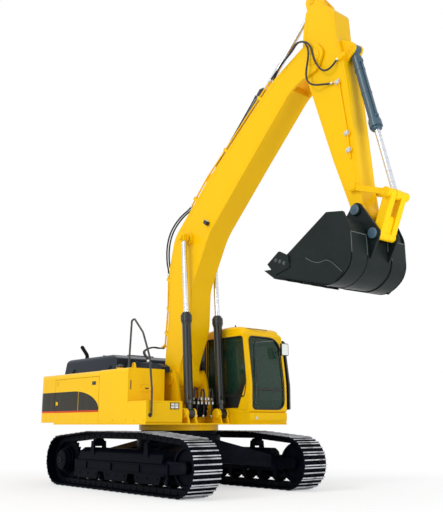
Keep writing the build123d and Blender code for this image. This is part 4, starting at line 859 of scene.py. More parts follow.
class TurntableTrim(bpy.types.Operator):
    """Adds the slewing ring's bolts, the travel hoses' cover and the valve block in front"""
    bl_idname = "excavator.turntable_trim"
    bl_label = "Turntable trim"

    def execute(self, context):
        low = [(p, Z) for p in ring((0, 0, 1.0101), Z, 0.79, 36)]
        bolts("ring_bolts_lower", low, "undercarriage", "cast", 0.016, 0.016)
        lid = Shape().lathe((0, 0, 1.0), Z, [(0, 0.2), (0.1, 0.19), (0.12, 0.15)])
        lid.done("swivel_joint", "cast", "undercarriage")
        block = Shape().box((0.43, -0.17, 1.36), (0.66, 0.2, 1.62), 0.012)
        block.box((0.46, -0.1, 1.62), (0.6, 0.1, 1.72), 0.01)
        for y in (-0.12, -0.02, 0.08, 0.16):
            block.lathe((0.66, y, 1.52), X, [(0, 0.026), (0.035, 0.026), (0.04, 0.018)], 8)
            block.lathe((0.66, y, 1.43), X, [(0, 0.02), (0.03, 0.02), (0.034, 0.012)], 8)
        block.done("swing_valve", "cast", "upper")
        fittings = Shape()
        for y in (-0.225, -0.115, -0.025, 0.08, 0.155, 0.25):
            for x, z in ((0.77, 1.6), (0.757, 1.68)):
                fittings.lathe((x, y, z), Z, [(0, 0.024), (0.05, 0.024)], 6)
        fittings.done("hose_ferrules_front", "zinc", "upper")
        return {"FINISHED"}


class BodyPanels(bpy.types.Operator):
    """Adds handles, hinges, louvres, seams, treads, lamp, caps and lifting eyes to the upper body"""
    bl_idname = "excavator.body_panels"
    bl_label = "Body panels"

    def execute(self, context):
        self.doors()
        self.counterweight()
        self.hood()
        self.tank()
        self.step()
        return {"FINISHED"}

    def doors(self):
        for (side, sign), y, x in zip(SIDES, (BODY_RIGHT, CAB_LEFT), (-0.87, -0.41)):
            latch = Shape().box((x - 0.07, y - 0.002, 1.99), (x + 0.07, y + sign * 0.006, 2.06), 0.002)
            latch.box((x - 0.05, y, 2.005), (x + 0.05, y + sign * 0.02, 2.03), 0.006)
            latch.lathe((x + 0.04, y, 2.045), Y * sign, [(0, 0.012), (0.01, 0.012), (0.012, 0.006)], 16)
            latch.done(f"door_latch_{side}", "black", f"{side}_door")
            hinge = Shape()
            for z in (1.6, 2.02):
                hinge.lathe((-2.4, y + sign * 0.006, z), Z, [(0, 0.009), (0.09, 0.009)], 14)
                hinge.box((-2.4, y, z + 0.01), (-2.33, y + sign * 0.005, z + 0.08), 0.002)
            hinge.done(f"door_hinges_{side}", "body", f"{side}_door")
        rows = [((x, CAB_LEFT + 0.004, 1.56 + k * 0.042), (0, 0.5, 0.86), X)
                for x in (-1.95, -1.3, -0.65) for k in range(12)]
        repeated("left_louvres", bar_tree, rows, {"Length": 0.46, "Width": 0.03, "Height": 0.006}, "black",
                 "left_door")

    def counterweight(self):
        eye = Shape()
        for y in (-0.85, 0.85):
            bow = [Vector((-2.9 + math.cos(a) * 0.06, y, BODY_TOP - 0.01 + math.sin(a) * 0.075))
                   for a in (math.pi * k / 10 for k in range(11))]
            eye.tube([bow[0] - Z * 0.02, *bow, bow[-1] - Z * 0.02], 0.017, 12)
        eye.done("counterweight_eyes", "cast", "upper")
        seam = Shape().box((BODY_REAR - 0.004, -0.42, 1.62), (BODY_REAR + 0.05, 0.42, 1.64))
        for y in (-0.8, 0.8):
            seam.lathe((BODY_REAR + 0.055, y, 1.62), -X, [(0, 0.06), (0.03, 0.058), (0.036, 0.045)], 24)
        seam.done("counterweight_plugs", "black", "upper")
        lamps = Shape()
        for y in (-1.05, 1.05):
            lamps.box((BODY_REAR + 0.005, y - 0.08, 1.45), (BODY_REAR + 0.07, y + 0.08, 1.53), 0.01)
        lamps.done("tail_reflectors", "lens", "upper")

    def hood(self):
        trim = Shape()
        for x in (-2.35, -1.6):
            trim.box((x - 0.008, -0.86, 2.655), (x + 0.008, 0.86, 2.668), 0.003)
        for x in (-2.7, -1.2):
            trim.box((x - 0.06, -0.955, 2.36), (x + 0.06, -0.935, 2.42))
            trim.box((x - 0.012, -0.965, 2.3), (x + 0.012, -0.945, 2.4))
        trim.box((-1.45, -0.35, 2.655), (-1.41, 0.35, 2.7), 0.01)
        trim.done("hood_trim", "hood", "engine_hood")
        rows = [((-2.1 + k * 0.05, y, 2.663), (0.5, 0, 0.86), Y) for k in range(9) for y in (-0.42, 0.42)]
        repeated("hood_louvres", bar_tree, rows, {"Length": 0.5, "Width": 0.036, "Height": 0.006}, "hood",
                 "engine_hood")
        collar = Shape().lathe((-2.64, -0.64, 2.652), Z, [(0, 0.075), (0.02, 0.072), (0.028, 0.05)], 28)
        collar.done("exhaust_collar", "cast", "engine_hood")
        cover = Shape()
        for x, z in ((-0.6, 2.475), (-0.1, 2.418)):
            cover.box((x - 0.05, -0.6, z - 0.006), (x + 0.05, -0.5, z + 0.01))
        cover.done("cover_latches", "hood", "upper")

    def tank(self):
        profile = [(0, 0.082), (0.02, 0.084), (0.045, 0.08), (0.052, 0.06)]
        cap = Shape().lathe((-0.42, -1.17, 2.32), Z, profile, 28)
        cap.box((-0.47, -1.18, 2.365), (-0.37, -1.16, 2.39), 0.006)
        cap.done("filler_cap", "black", "upper")
        face = 0.357
        slot = Shape().box((face - 0.01, -1.436, 1.86), (face + 0.004, -1.414, 2.03), 0.003)
        slot.done("sight_slot", "black", "upper")
        plate = Shape().box((face - 0.004, -1.22, 1.82), (face + 0.006, -0.9, 1.96), 0.003)
        plate.box((face, -1.19, 1.84), (face + 0.011, -0.93, 1.94), 0.003)
        plate.done("tank_cover_plate", "body", "upper")
        handle = Shape().box((face + 0.008, -1.1, 1.875), (face + 0.02, -1.02, 1.9))
        handle.done("tank_latch", "black", "upper")

    def step(self):
        lens = Shape().box((0.962, -0.935, 1.503), (0.985, -0.765, 1.597), 0.006)
        lens.done("front_lamp_lens", "lens", "upper")
        bezel = Shape()
        for x, y, y_end, z, z_end in ((0.968, -0.95, -0.75, 1.598, 1.61), (0.968, -0.95, -0.75, 1.49, 1.502),
                                      (0.968, -0.95, -0.936, 1.49, 1.61), (0.968, -0.764, -0.75, 1.49, 1.61)):
            bezel.box((x, y, z), (x + 0.018, y_end, z_end), 0.002)
        bezel.box((0.984, -0.856, 1.5), (0.989, -0.844, 1.6), 0.002)
        bezel.box((0.984, -0.94, 1.545), (0.989, -0.76, 1.555), 0.002)
        bezel.done("front_lamp_guard", "black", "upper")
        for name, body, radius, (x, dx, columns), (y, dy, rows), z in (
                ("step_tread", "step_lid", 0.011, (0.42, 0.05, 11), (-1.4, 0.08, 9), 1.6401),
                ("tank_tread", "upper", 0.01, (-0.58, 0.06, 13), (-0.98, 0.04, 8), 2.2701)):
            studs = [((x + j * dx, y + k * dy + (j % 2) * dy / 2, z), Z)
                     for j in range(columns) for k in range(rows)]
            bolts(name, studs, body, "body", radius, 0.006)
        edge = [((x, BODY_RIGHT, 1.29), -Y) for x in (-0.6, -0.15, 0.3, 0.6, 0.9)]
        edge += [((x, CAB_LEFT, 1.29), Y) for x in (-2.3, -1.6, -0.9, -0.3)]
        bolts("skirt_bolts", edge, "upper", "body", 0.012, 0.008)
        profile = [(0, 0.042), (0.014, 0.042), (0.018, 0.024), (0.05, 0.022)]
        feet = Shape().lathe((0.237, -1.4, 2.27), Z, profile, 20)
        feet.lathe((0.97, -1.4, 1.38), X, [(0, 0.04), (0.012, 0.04), (0.016, 0.022)], 20)
        feet.done("rail_feet", "black", "upper")


# Windows as (y or x, z) outlines, and the corner radii of the windscreen's six corners
WINDSCREEN_CORNERS = (0.07, 0.2, 0.02, 0.3, 0.1, 0.02)
SIDE_WINDOW = ((0.25, 1.75), (1.39, 1.75), (1.44, 2.0), (1.33, 2.93), (0.25, 2.93))
FRONT_WINDOW = ((0.61, 1.505), (1.47, 1.505), (1.46, 2.93), (0.62, 2.93))
DOOR_WINDOW = ((0.51, 1.7), (1.38, 1.7), (1.38, 2.0), (1.28, 2.84), (0.51, 2.84))
REAR_WINDOW = ((0.66, 2.15), (1.42, 2.15), (1.42, 2.83), (0.66, 2.83))
SLIM_WINDOW = ((0.0, 2.1), (0.19, 2.1), (0.19, 2.9), (0.0, 2.88))
KICK_PANEL = ((0.235, 1.53), (1.2, 1.53), (1.395, 1.95), (1.43, 2.02), (1.37, 2.02), (1.08, 1.8),
              (0.235, 1.76))
SILL_PLATE = ((1.205, 1.5), (1.47, 1.5), (1.47, 2.05), (1.435, 2.03), (1.4, 1.95))


def cab_front(y, z, proud=0.0):
    """A point on the cab's front face, or a little before it."""
    return Vector((CAB_FRONT - max(0.0, z - CAB_KNEE) * CAB_LEAN + proud, y, z))


def ajar(x, y, z):
    """A point of the shut door, turned to where the door stands."""
    return Matrix.Rotation(DOOR_AJAR, 3, "Z") @ (Vector((x, y, z)) - DOOR_HINGE) + DOOR_HINGE


class CabTrim(bpy.types.Operator):
    """Adds window seals, wiper, handles, mirror glass, roof hatch and lower side panel to the cab"""
    bl_idname = "excavator.cab_trim"
    bl_label = "Cab trim"

    def execute(self, context):
        self.windows(context.scene.excavator_hardware.seal_radius)
        self.wiper()
        self.roof()
        self.fittings()
        return {"FINISHED"}

    def windows(self, radius):
        side = [(x, CAB_RIGHT - 0.002, z) for x, z in SIDE_WINDOW]
        seals = Shape().tube(rounded(side, 0.06), radius, 8, True)
        front = [cab_front(y, z, 0.002) for y, z in FRONT_WINDOW]
        front.insert(2, cab_front(1.465, CAB_KNEE, 0.002))
        front.append(cab_front(0.615, CAB_KNEE, 0.002))
        steps = 6
        loop = rounded(front, WINDSCREEN_CORNERS, steps - 1)
        seals.tube(loop, radius, 8, True)
        middle = sum(front, Vector()) / len(front)
        corners = Shape()
        for k in (0, 1, 3, 4):
            off = front[k] - middle
            outer = front[k] + Vector((0, math.copysign(0.02, off.y), math.copysign(0.02, off.z)))
            corners.prism([outer] + loop[k * steps:(k + 1) * steps], (0.004, 0, 0), 0.001)
        corners.done("windscreen_corners", "body", "upper")
        seals.tube(rounded([(-0.152, y, z) for y, z in REAR_WINDOW], 0.05), radius, 8, True)
        for y in (CAB_RIGHT - 0.002, CAB_LEFT + 0.002):
            seals.tube(rounded([(x, y, z) for x, z in SLIM_WINDOW], 0.03), radius, 8, True)
        seals.done("window_seals", "seal", "upper")
        panel = Shape().prism([(x, CAB_RIGHT, z) for x, z in KICK_PANEL], (0, -0.008, 0))
        panel.done("side_kick_panel", "black", "upper")
        sill = Shape().prism([(x, CAB_RIGHT, z) for x, z in SILL_PLATE], (0, -0.006, 0), 0.002)
        sill.done("side_sill_plate", "body", "upper")
        bar = Shape().box((CAB_FRONT - 0.02, 0.605, 1.87), (CAB_FRONT + 0.004, 1.475, 1.91))
        bar.done("windscreen_joint", "seal", "upper")
        outline = rounded([(x, CAB_LEFT + 0.002, z) for x, z in DOOR_WINDOW], 0.05)
        Shape().tube([ajar(*p) for p in outline], radius, 8, True).done("door_seal", "seal", "cab_door")
        handle, near, far = Shape(), CAB_LEFT - 0.01, CAB_LEFT + 0.05
        for z in (1.62, 1.98):
            handle.tube([ajar(1.33, near, z), ajar(1.33, far, z)], 0.01)
        handle.tube([ajar(1.33, far, 1.6), ajar(1.33, far, 2.0)], 0.011)
        handle.done("door_grab_bar", "black", "cab_door")

    def wiper(self):
        pivot = cab_front(0.66, 1.62, 0.01)
        arm = Shape().lathe(pivot - X * 0.02, X, [(0, 0.028), (0.034, 0.026), (0.04, 0.014)], 18)
        arm.tube([pivot + X * 0.012, cab_front(0.7, 1.95, 0.02), cab_front(0.78, 2.5, 0.014)], 0.008)
        low, high = cab_front(0.69, 2.12, 0.006), cab_front(0.8, 2.85, 0.006)
        arm.tube([low, (low + high) / 2, high], 0.009, 8)
        arm.done("wiper", "black", "upper")

    def roof(self):
        along = ((-0.1, 3.03), (0.1, 3.1), (0.5, 3.135), (0.95, 3.15), (1.22, 3.13), (1.34, 3.08),
                 (1.4, 2.995))
        across = ((0.55, 0.05), (0.6, 0), (0.8, 0), (1.04, 0), (1.28, 0), (1.44, 0), (1.49, 0))
        tops = [[Vector((x, y, z - drop)) for y, drop in across] for x, z in along]
        crown = Shape().skin([row + [p - Z * 0.1 for p in reversed(row)] for row in tops])
        crown.done("roof_crown", "body", "upper", None, 1.2)
        hatch = Shape().box((0.25, 0.74, 3.08), (0.95, 1.34, 3.165), 0.02)
        hatch.box((0.3, 0.79, 3.16), (0.9, 1.29, 3.176), 0.012)
        hatch.done("roof_hatch", "body", "upper")
        gutter = Shape().tube([(0.1, 0.58, 3.075), (0.6, 0.58, 3.1), (1.1, 0.58, 3.11), (1.25, 0.6, 3.1),
                               (1.36, 0.8, 3.09), (1.36, 1.2, 3.09)], 0.007, 6)
        gutter.lathe((1.02, 0.64, 3.09), Z, [(0, 0.02), (0.09, 0.014), (0.096, 0.008)], 10)
        gutter.done("roof_drip_rail", "black", "upper")

    def fittings(self):
        plug = Shape().lathe(cab_front(0.71, 1.335, -0.002), X, [(0, 0.032), (0.008, 0.03), (0.01, 0.02)], 20)
        plug.done("tow_plug", "zinc", "upper")
        Shape().box((1.2, 1.54, 1.235), (1.5, 1.556, 1.262)).done("cab_kick_plate", "black", "upper")
        glass = Shape()
        for x in (1.64, 1.597):
            glass.box((x, 1.345, 2.585), (x + 0.0015, 1.515, 2.805), 0.0)
        glass.done("mirror_glass", "mirror", "upper")


SEAT_X, SEAT_Y, SEAT_Z, CAB_FLOOR = 0.35, 1.04, 1.95, 1.49
LEVER = ((0, 0.03), (0.02, 0.022), (0.09, 0.016), (0.1, 0.024), (0.16, 0.027), (0.19, 0.018))


class CabInterior(bpy.types.Operator):
    """Makes the operator's seat, consoles, levers, pedals and monitor"""
    bl_idname = "excavator.cab_interior"
    bl_label = "Cab interior"

    def cushion(self, name, half, bevel, fill, outline):
        """A crowned pad of a width round an outline of (x, z), both from the seat's middle."""
        near = [(SEAT_X + x, SEAT_Y - half, SEAT_Z + z) for x, z in outline]
        pad = Shape().prism(near, (0, 2 * half, 0), 0).done(name, "cloth", None, None, 3.2)
        edge = pad.modifiers.new("soft_edge", "BEVEL")
        edge.width, edge.segments, edge.limit_method = bevel, 3, "NONE"
        swell = pad.modifiers.new("crown", "SUBSURF")
        swell.levels = swell.render_levels = 2
        mesh = plain_mesh(pad)
        pad.modifiers.clear()
        pad.data = mesh
        mesh.name = name
        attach(pad, "upper")
        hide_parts("operator_seat")

    def execute(self, context):
        self.cushion("seat_cushion", 0.23, 0.03, 0.85, ((0.02, -0.1), (0.5, -0.1), (0.53, 0), (0.5, 0.03),
                                                        (0.14, 0.01), (0.02, 0.01)))
        self.cushion("seat_back", 0.22, 0.03, 0.85, ((-0.03, 0.02), (0.12, 0.02), (0.07, 0.3), (0.02, 0.61),
                                                     (-0.07, 0.61), (-0.05, 0.3)))
        self.cushion("head_rest", 0.13, 0.025, 0.9, ((-0.08, 0.65), (0.01, 0.65), (0, 0.82), (-0.09, 0.82)))
        x, y, z = SEAT_X, SEAT_Y, SEAT_Z
        desk = Shape().box((x + 0.06, y - 0.18, CAB_FLOOR), (x + 0.44, y + 0.18, z - 0.1), 0.02)
        desk.box((x - 0.06, y - 0.03, z + 0.55), (x - 0.035, y + 0.03, z + 0.68))
        console = ((0.08, CAB_FLOOR), (0.42, CAB_FLOOR), (0.62, 1.99), (0.62, 2.05), (0.08, 2.05))
        for side in (-1, 1):
            middle, lever = y + side * 0.305, y + side * 0.09
            desk.prism([(x + dx, middle - 0.055, height) for dx, height in console], (0, 0.11, 0), 0.015)
            desk.lathe((x + 0.56, middle, 2.05), Z, LEVER, 16)
            desk.tube([(x + dx, lever, height) for dx, height in
                       ((0.83, CAB_FLOOR), (0.83, 1.8), (0.8, 1.95), (0.73, 2.12))], 0.013)
            desk.box((x + 0.79, lever - 0.05, 1.5), (x + 0.9, lever + 0.05, 1.53), 0.006)
        desk.box((1.34, 0.63, 2.05), (1.385, 0.83, 2.21), 0.01)
        desk.box((1.38, 0.59, 2.09), (1.44, 0.65, 2.15))
        piece = desk.done("consoles_and_levers", "plastic", "upper")
        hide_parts("operator_seat")
        Shape().box((1.3385, 0.645, 2.07), (1.34, 0.815, 2.195), 0.0).done("monitor_screen", "glass", "upper")
        return {"FINISHED"}


def pin_cap(shape, centre, out, radius, depth=0.012):
    """A pin's end plate with a raised middle."""
    profile = ((0, 1), (0.6, 1), (1, 0.92), (1, 0.45), (1.5, 0.42))
    shape.lathe(centre, out, [(depth * deep, radius * wide) for deep, wide in profile], 28)


def pin_plates(body, rows, bolt_radius):
    """End plates, each with three lock bolts, on both ends of pins given as (centre, reach, radius)."""
    caps, locks = Shape(), []
    for out in (-Y, Y):
        for centre, reach, radius in rows:
            face = centre + out * reach
            pin_cap(caps, face, out, radius)
            locks += [(p, out) for p in ring(face + out * 0.008, out, radius * 0.7, 3, 0.5)]
    caps.done(f"{body}_pin_caps", "body", body)
    bolts(f"{body}_pin_bolts", locks, body, "body", bolt_radius, 0.01)


def weld_beads(body, place, half, lines):
    """Weld beads on both sides of the boom or arm, along lines of (u, v)."""
    beads = Shape()
    for y in (0.001 - half, half - 0.001):
        for line in lines:
            beads.tube(smoothed([place(u, v, y) for u, v in line]), 0.005, 6)
    beads.done(f"{body}_weld_beads", "body", body)


class BoomAndArmTrim(bpy.types.Operator):
    """Adds pin caps, lock bolts, weld beads, pipe clamps and the work lamp"""
    bl_idname = "excavator.boom_and_arm_trim"
    bl_label = "Boom and arm trim"

    def execute(self, context):
        self.boom()
        self.arm()
        return {"FINISHED"}

    def boom(self):
        pin_plates("boom", ((BOOM_CYLINDER[1], 0.295, 0.095), (on_boom(BOOM_LENGTH, 0), 0.265, 0.11),
                            (ARM_CYLINDER[0], 0.1143, 0.06)), 0.012)
        weld_beads("boom", on_boom, BOOM_HALF, (
            ((0.3, 0.56), (1.0, 0.97), (1.66, 1.46), (2.33, 1.72), (3.8, 1.42), (5.9, 0.79), (6.5, 0.5)),
            ((0.5, 0.12), (1.05, 0.25), (1.75, 0.69), (2.9, 0.83), (4.5, 0.56), (6.1, 0.24))))
        clamps, studs = Shape(), []
        up = BOOM_TURN.to_3x3() @ Z
        for u, v in ((0.56, 0.914), (1.01, 1.169), (1.5, 1.534), (3.3, 1.724), (4.5, 1.407), (5.7, 1.044)):
            studs.append((on_boom(u, v + 0.008, -0.18), up))
            clamps.box((u - 0.034, -0.232, v - 0.004), (u + 0.034, -0.128, v + 0.01), 0.003, BOOM_TURN)
        clamps.done("boom_pipe_clamps", "zinc", "boom")
        bolts("boom_clamp_bolts", studs, "boom", "zinc", 0.01, 0.009)
        lamp = Shape().box((3.02, -0.325, 0.9), (3.1, -0.252, 1.02), 0.008, BOOM_TURN)
        lamp.done("boom_lamp", "black", "boom")
        glass = Shape().box((3.1, -0.315, 0.915), (3.104, -0.262, 1.005), 0.001, BOOM_TURN)
        glass.done("boom_lamp_lens", "lens", "boom")

    def arm(self):
        pin_plates("arm", ((BUCKET_CYLINDER[0], 0.1143, 0.06), (ARM_CYLINDER[1], 0.1163, 0.07)), 0.011)
        links = Shape()
        for out in (-Y, Y):
            for centre in (IDLER_PIVOT, LINKAGE_PIN):
                pin_cap(links, centre + out * 0.265, out, 0.062)
        links.done("idler_pin_caps", "body", "idler_links")
        clamps, studs = Shape(), []
        for u, v in ((0.79, 0.3325), (1.778, 0.225), (2.08, 0.17)):
            clamps.box((u - 0.04, -0.252, v - 0.05), (u + 0.04, -0.232, v + 0.05), 0.006, ARM_TURN)
            studs += [(on_arm(u, v + offset, -0.252), -Y) for offset in (-0.034, 0.034)]
        clamps.done("arm_pipe_clamps", "zinc", "arm")
        bolts("arm_clamp_bolts", studs, "arm", "zinc", 0.012, 0.012)
        weld_beads("arm", on_arm, ARM_HALF, (
            ((-0.9, 0.13), (-0.6, -0.03), (-0.1, -0.24), (0.3, -0.245), (2.0, -0.17), (2.9, -0.09)),
            ((-0.85, 0.46), (-0.55, 0.6), (-0.1, 0.51), (0.5, 0.5), (0.95, 0.45), (2.6, 0.14))))


# Name, start and end, places across, radius, rod's radius, barrel's length, finish, side of its oil pipe
CYLINDERS = (("boom", BOOM_CYLINDER, (-0.405, 0.405), 0.088, 0.052, 1.95, "black", -1),
             ("arm", ARM_CYLINDER, (0.0,), 0.098, 0.055, 2.13, "black", 1),
             ("bucket", BUCKET_CYLINDER, (0.0,), 0.086, 0.048, 1.64, "blue_black", 1))


class CylinderTrim(bpy.types.Operator):
    """Adds gland bolts, bands, ports and oil pipes to the cylinders' barrels"""
    bl_idname = "excavator.cylinder_trim"
    bl_label = "Cylinder trim"

    def execute(self, context):
        for name, (start, end), offsets, radius, rod, barrel, finish, facing in CYLINDERS:
            pipes, collars, sleeves, eyes, studs = Shape(), Shape(), Shape(), Shape(), []
            way = (end - start).normalized()
            turn = way.to_track_quat("Z", "Y").to_matrix().to_4x4()
            out = (Vector((-way.z, 0, way.x)) * facing - Y * 0.42).normalized()
            eye = rod * 1.7 + 0.003
            for y in offsets:
                base = start + Y * y
                studs += [(p, way) for p in ring(base + way * (barrel - 0.045), way, radius + 0.008, 10)]
                collars.lathe(base + way * (barrel - 0.03), way,
                              [(0, radius * 0.86), (0.04, radius * 0.84), (0.05, radius * 0.74)], 28)
                for place in (0.42, barrel * 0.55):
                    collars.lathe(base + way * place, way, [(0, radius + 0.006), (0.035, radius + 0.006)], 28)
                near, far, reach = base + way * 0.3, base + way * (barrel - 0.22), radius + 0.028
                sleeves.lathe(base + way * (barrel + 0.002), way,
                              [(0, rod + 0.0008), ((end - start).length - barrel - 0.06, rod + 0.0008)], 48)
                eyes.lathe(end + Y * (y - 0.068), Y, [(0, 0.06), (0.004, eye), (0.132, eye), (0.136, 0.06)])
                pipes.tube(smoothed([far + out * (radius - 0.01), far + out * (reach + 0.012),
                                     far + out * reach - way * 0.08, near + out * reach + way * 0.05,
                                     near + out * reach]), 0.014)
                ports = ((far, 0.012, (0.03, 0.03, 0.03)), (near, 0.008, (0.03, 0.035, 0.04)))
                for port, lift, half in ports:
                    seat = Matrix.Translation(port + out * (radius + lift)) @ turn
                    pipes.box(-Vector(half), half, 0.008, seat)
            if name == "boom":
                for y in offsets:
                    outwards = Y * math.copysign(1, y)
                    profile = [(0, 0.053), (0.036, 0.053), (0.042, 0.046)]
                    eyes.lathe(end + Y * y + outwards * 0.07, outwards, profile, 24)
            plural = "s" if name == "boom" else ""
            body, rod_body = f"{name}_barrel{plural}", f"{name}_rod{plural}"
            pipes.done(f"{name}_cylinder_pipes", finish, body)
            collars.done(f"{name}_cylinder_bands", finish, body)
            bolts(f"{name}_gland_bolts", studs, body, finish, 0.011, 0.012)
            sleeves.done(f"{name}_rod_chrome", "chrome", rod_body, None, 1.2)
            eyes.done(f"{name}_rod_eyes", "body", rod_body)
        bosses = Shape()
        for y in (-0.5193, 0.2907):
            bosses.lathe((0.85, y, 1.42), -Y, [(0, 0.1), (0.03, 0.098), (0.05, 0.085), (0.06, 0.06)])
        bosses.done("cylinder_foot_bosses", "body", "upper")
        return {"FINISHED"}


# Hose routes: (u, v) on the boom, and (u, v, y) from the boom's tip and on the arm
PIPE_ROWS = (-0.21, -0.15)
KNEE = ((1.56, 1.54), (1.66, 1.611), (1.78, 1.79), (2.08, 2.01), (2.42, 2.07), (2.8, 1.93), (3.052, 1.728),
        (3.15, 1.71))
CROSSING = (
    (((-0.7, 0.91, 0.21), (-0.595, 0.878, 0.21), (-0.36, 0.7, 0.29), (-0.045, 0.57, 0.29)),
     ((-0.496, -0.265, 0.29), (-0.434, -0.127, 0.29), (-0.327, -0.005, 0.29), (-0.161, 0.045, 0.29),
      (0.142, 0.025, 0.29), (0.432, 0.131, 0.29), (0.492, 0.257, 0.29), (0.46, 0.37, 0.27),
      (0.38, 0.42, 0.222), (0.38, 0.469, 0.222))),
    (((-0.7, 0.91, 0.15), (-0.595, 0.878, 0.15), (-0.38, 0.68, 0.332), (-0.06, 0.5, 0.332)),
     ((-0.436, -0.204, 0.332), (-0.385, -0.064, 0.332), (-0.246, -0.005, 0.332), (-0.085, -0.004, 0.332),
      (0.066, -0.076, 0.332), (0.226, -0.164, 0.332), (0.354, -0.204, 0.332), (0.482, -0.18, 0.332),
      (0.59, -0.09, 0.32), (0.65, 0.04, 0.27), (0.69, 0.136, 0.224), (0.735, 0.23, 0.224))),
)


class Hoses(bpy.types.Operator):
    """Makes the hydraulic hoses as smooth curves, with ferrules at their ends"""
    bl_idname = "excavator.hoses"
    bl_label = "Hoses"

    def smooth_path(self, points, radius):
        """A hose as a mesh: one smooth curve that the points steer."""
        data = bpy.data.curves.new("hose_path", "CURVE")
        data.dimensions = "3D"
        data.bevel_depth, data.bevel_resolution, data.resolution_u = radius, 2, 8
        data.use_fill_caps = True
        spline = data.splines.new("NURBS")
        spline.points.add(len(points) - 1)
        for point, place in zip(spline.points, points):
            point.co = (*place, 1)
        spline.order_u = 3
        spline.use_endpoint_u = True
        holder = placed("hose_path", data)
        mesh = plain_mesh(holder)
        bpy.data.objects.remove(holder)
        bpy.data.curves.remove(data)
        return mesh

    def run(self, name, routes):
        """One piece of several hoses, and one of the ferrules at their ends."""
        radius = bpy.context.scene.excavator_hardware.hose_radius
        hoses, cuffs = Shape(), Shape()
        for route in ([Vector(p) for p in route] for route in routes):
            mesh = self.smooth_path(route, radius)
            hoses.bm.from_mesh(mesh)
            bpy.data.meshes.remove(mesh)
            for tip, inner in (route[:2], route[:-3:-1]):
                way = (inner - tip).normalized()
                cuffs.lathe(tip + way * 0.001, way, [(0, radius * 1.1), (0.012, radius * 1.45),
                                                     (0.05, radius * 1.4), (0.056, radius * 1.15)], 14)
        return hoses.done(name, "hose"), cuffs.done(name + "_ferrules", "zinc")

    def execute(self, context):
        routes = [[on_boom(u, v, y) for u, v in KNEE] for y in PIPE_ROWS]
        hoses, cuffs = self.run("boom_knee_hoses", routes)
        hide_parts("boom_hoses")
        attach(hoses, "boom")
        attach(cuffs, "boom")
        routes = [[on_boom(BOOM_LENGTH + u, v, -y) for u, v, y in near]
                  + [on_arm(u, v, -y) for u, v, y in beyond] for near, beyond in CROSSING]
        hoses, cuffs = self.run("arm_crossing_hoses", routes)
        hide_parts("arm_hoses")
        first, last = on_boom(BOOM_LENGTH - 0.3, 0.65), on_arm(0.4, 0.1)
        for piece in (hoses, cuffs):
            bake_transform(piece)
        top, end = 2.449, on_boom(0.253, 0.832)
        routes = [[(x, -0.56, top), (x, -0.56, top + 0.06), (x - 0.18, -0.56, top + 0.2),
                   (x - 0.26, -0.48, end.z - 0.06), (x - 0.18, -0.33, end.z + 0.01),
                   (end.x - 0.08, y, end.z - 0.029), (end.x, y, end.z)]
                  for y, x in zip(PIPE_ROWS, (-0.34, -0.296))]
        hoses, cuffs = self.run("boom_foot_hoses", routes)
        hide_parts("base_hoses")
        for piece in (hoses, cuffs):
            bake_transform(piece)
        foot = 1.5
        routes = [[(0.42, near, foot), (x - 0.09, near, foot), (x, near + 0.01, foot + 0.2),
                   (x, near + 0.02, crest), (x, far - 0.02, crest), (x, far - 0.01, foot + 0.16),
                   (x - 0.06, far, foot - 0.16)]
                  for near, far, crest, x in ((-0.23, -0.12, 1.91, 0.77), (-0.03, 0.08, 1.89, 0.73),
                                              (0.15, 0.26, 1.9, 0.77))]
        hoses, cuffs = self.run("swing_motor_hoses", routes)
        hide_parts("base_hoses")
        for piece in (hoses, cuffs):
            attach(piece, "upper")
            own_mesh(piece)
        return {"FINISHED"}


CUTTER_BOLTS = ((1.37, 0.2), (1.44, 0.12), (1.51, 0.05))
# Weld lines on the bucket's sides; the light finish that draws them is a painted highlight on the plates'
# edges
SIDE_WELDS = ((0.007, ((0.939, 0.383), (0.831, 0.541), (0.717, 0.628), (0.542, 0.661), (0.4, 1.0))),
              (0.006, ((1.38, 0.02), (1.33, 0.14), (1.3, 0.3))))


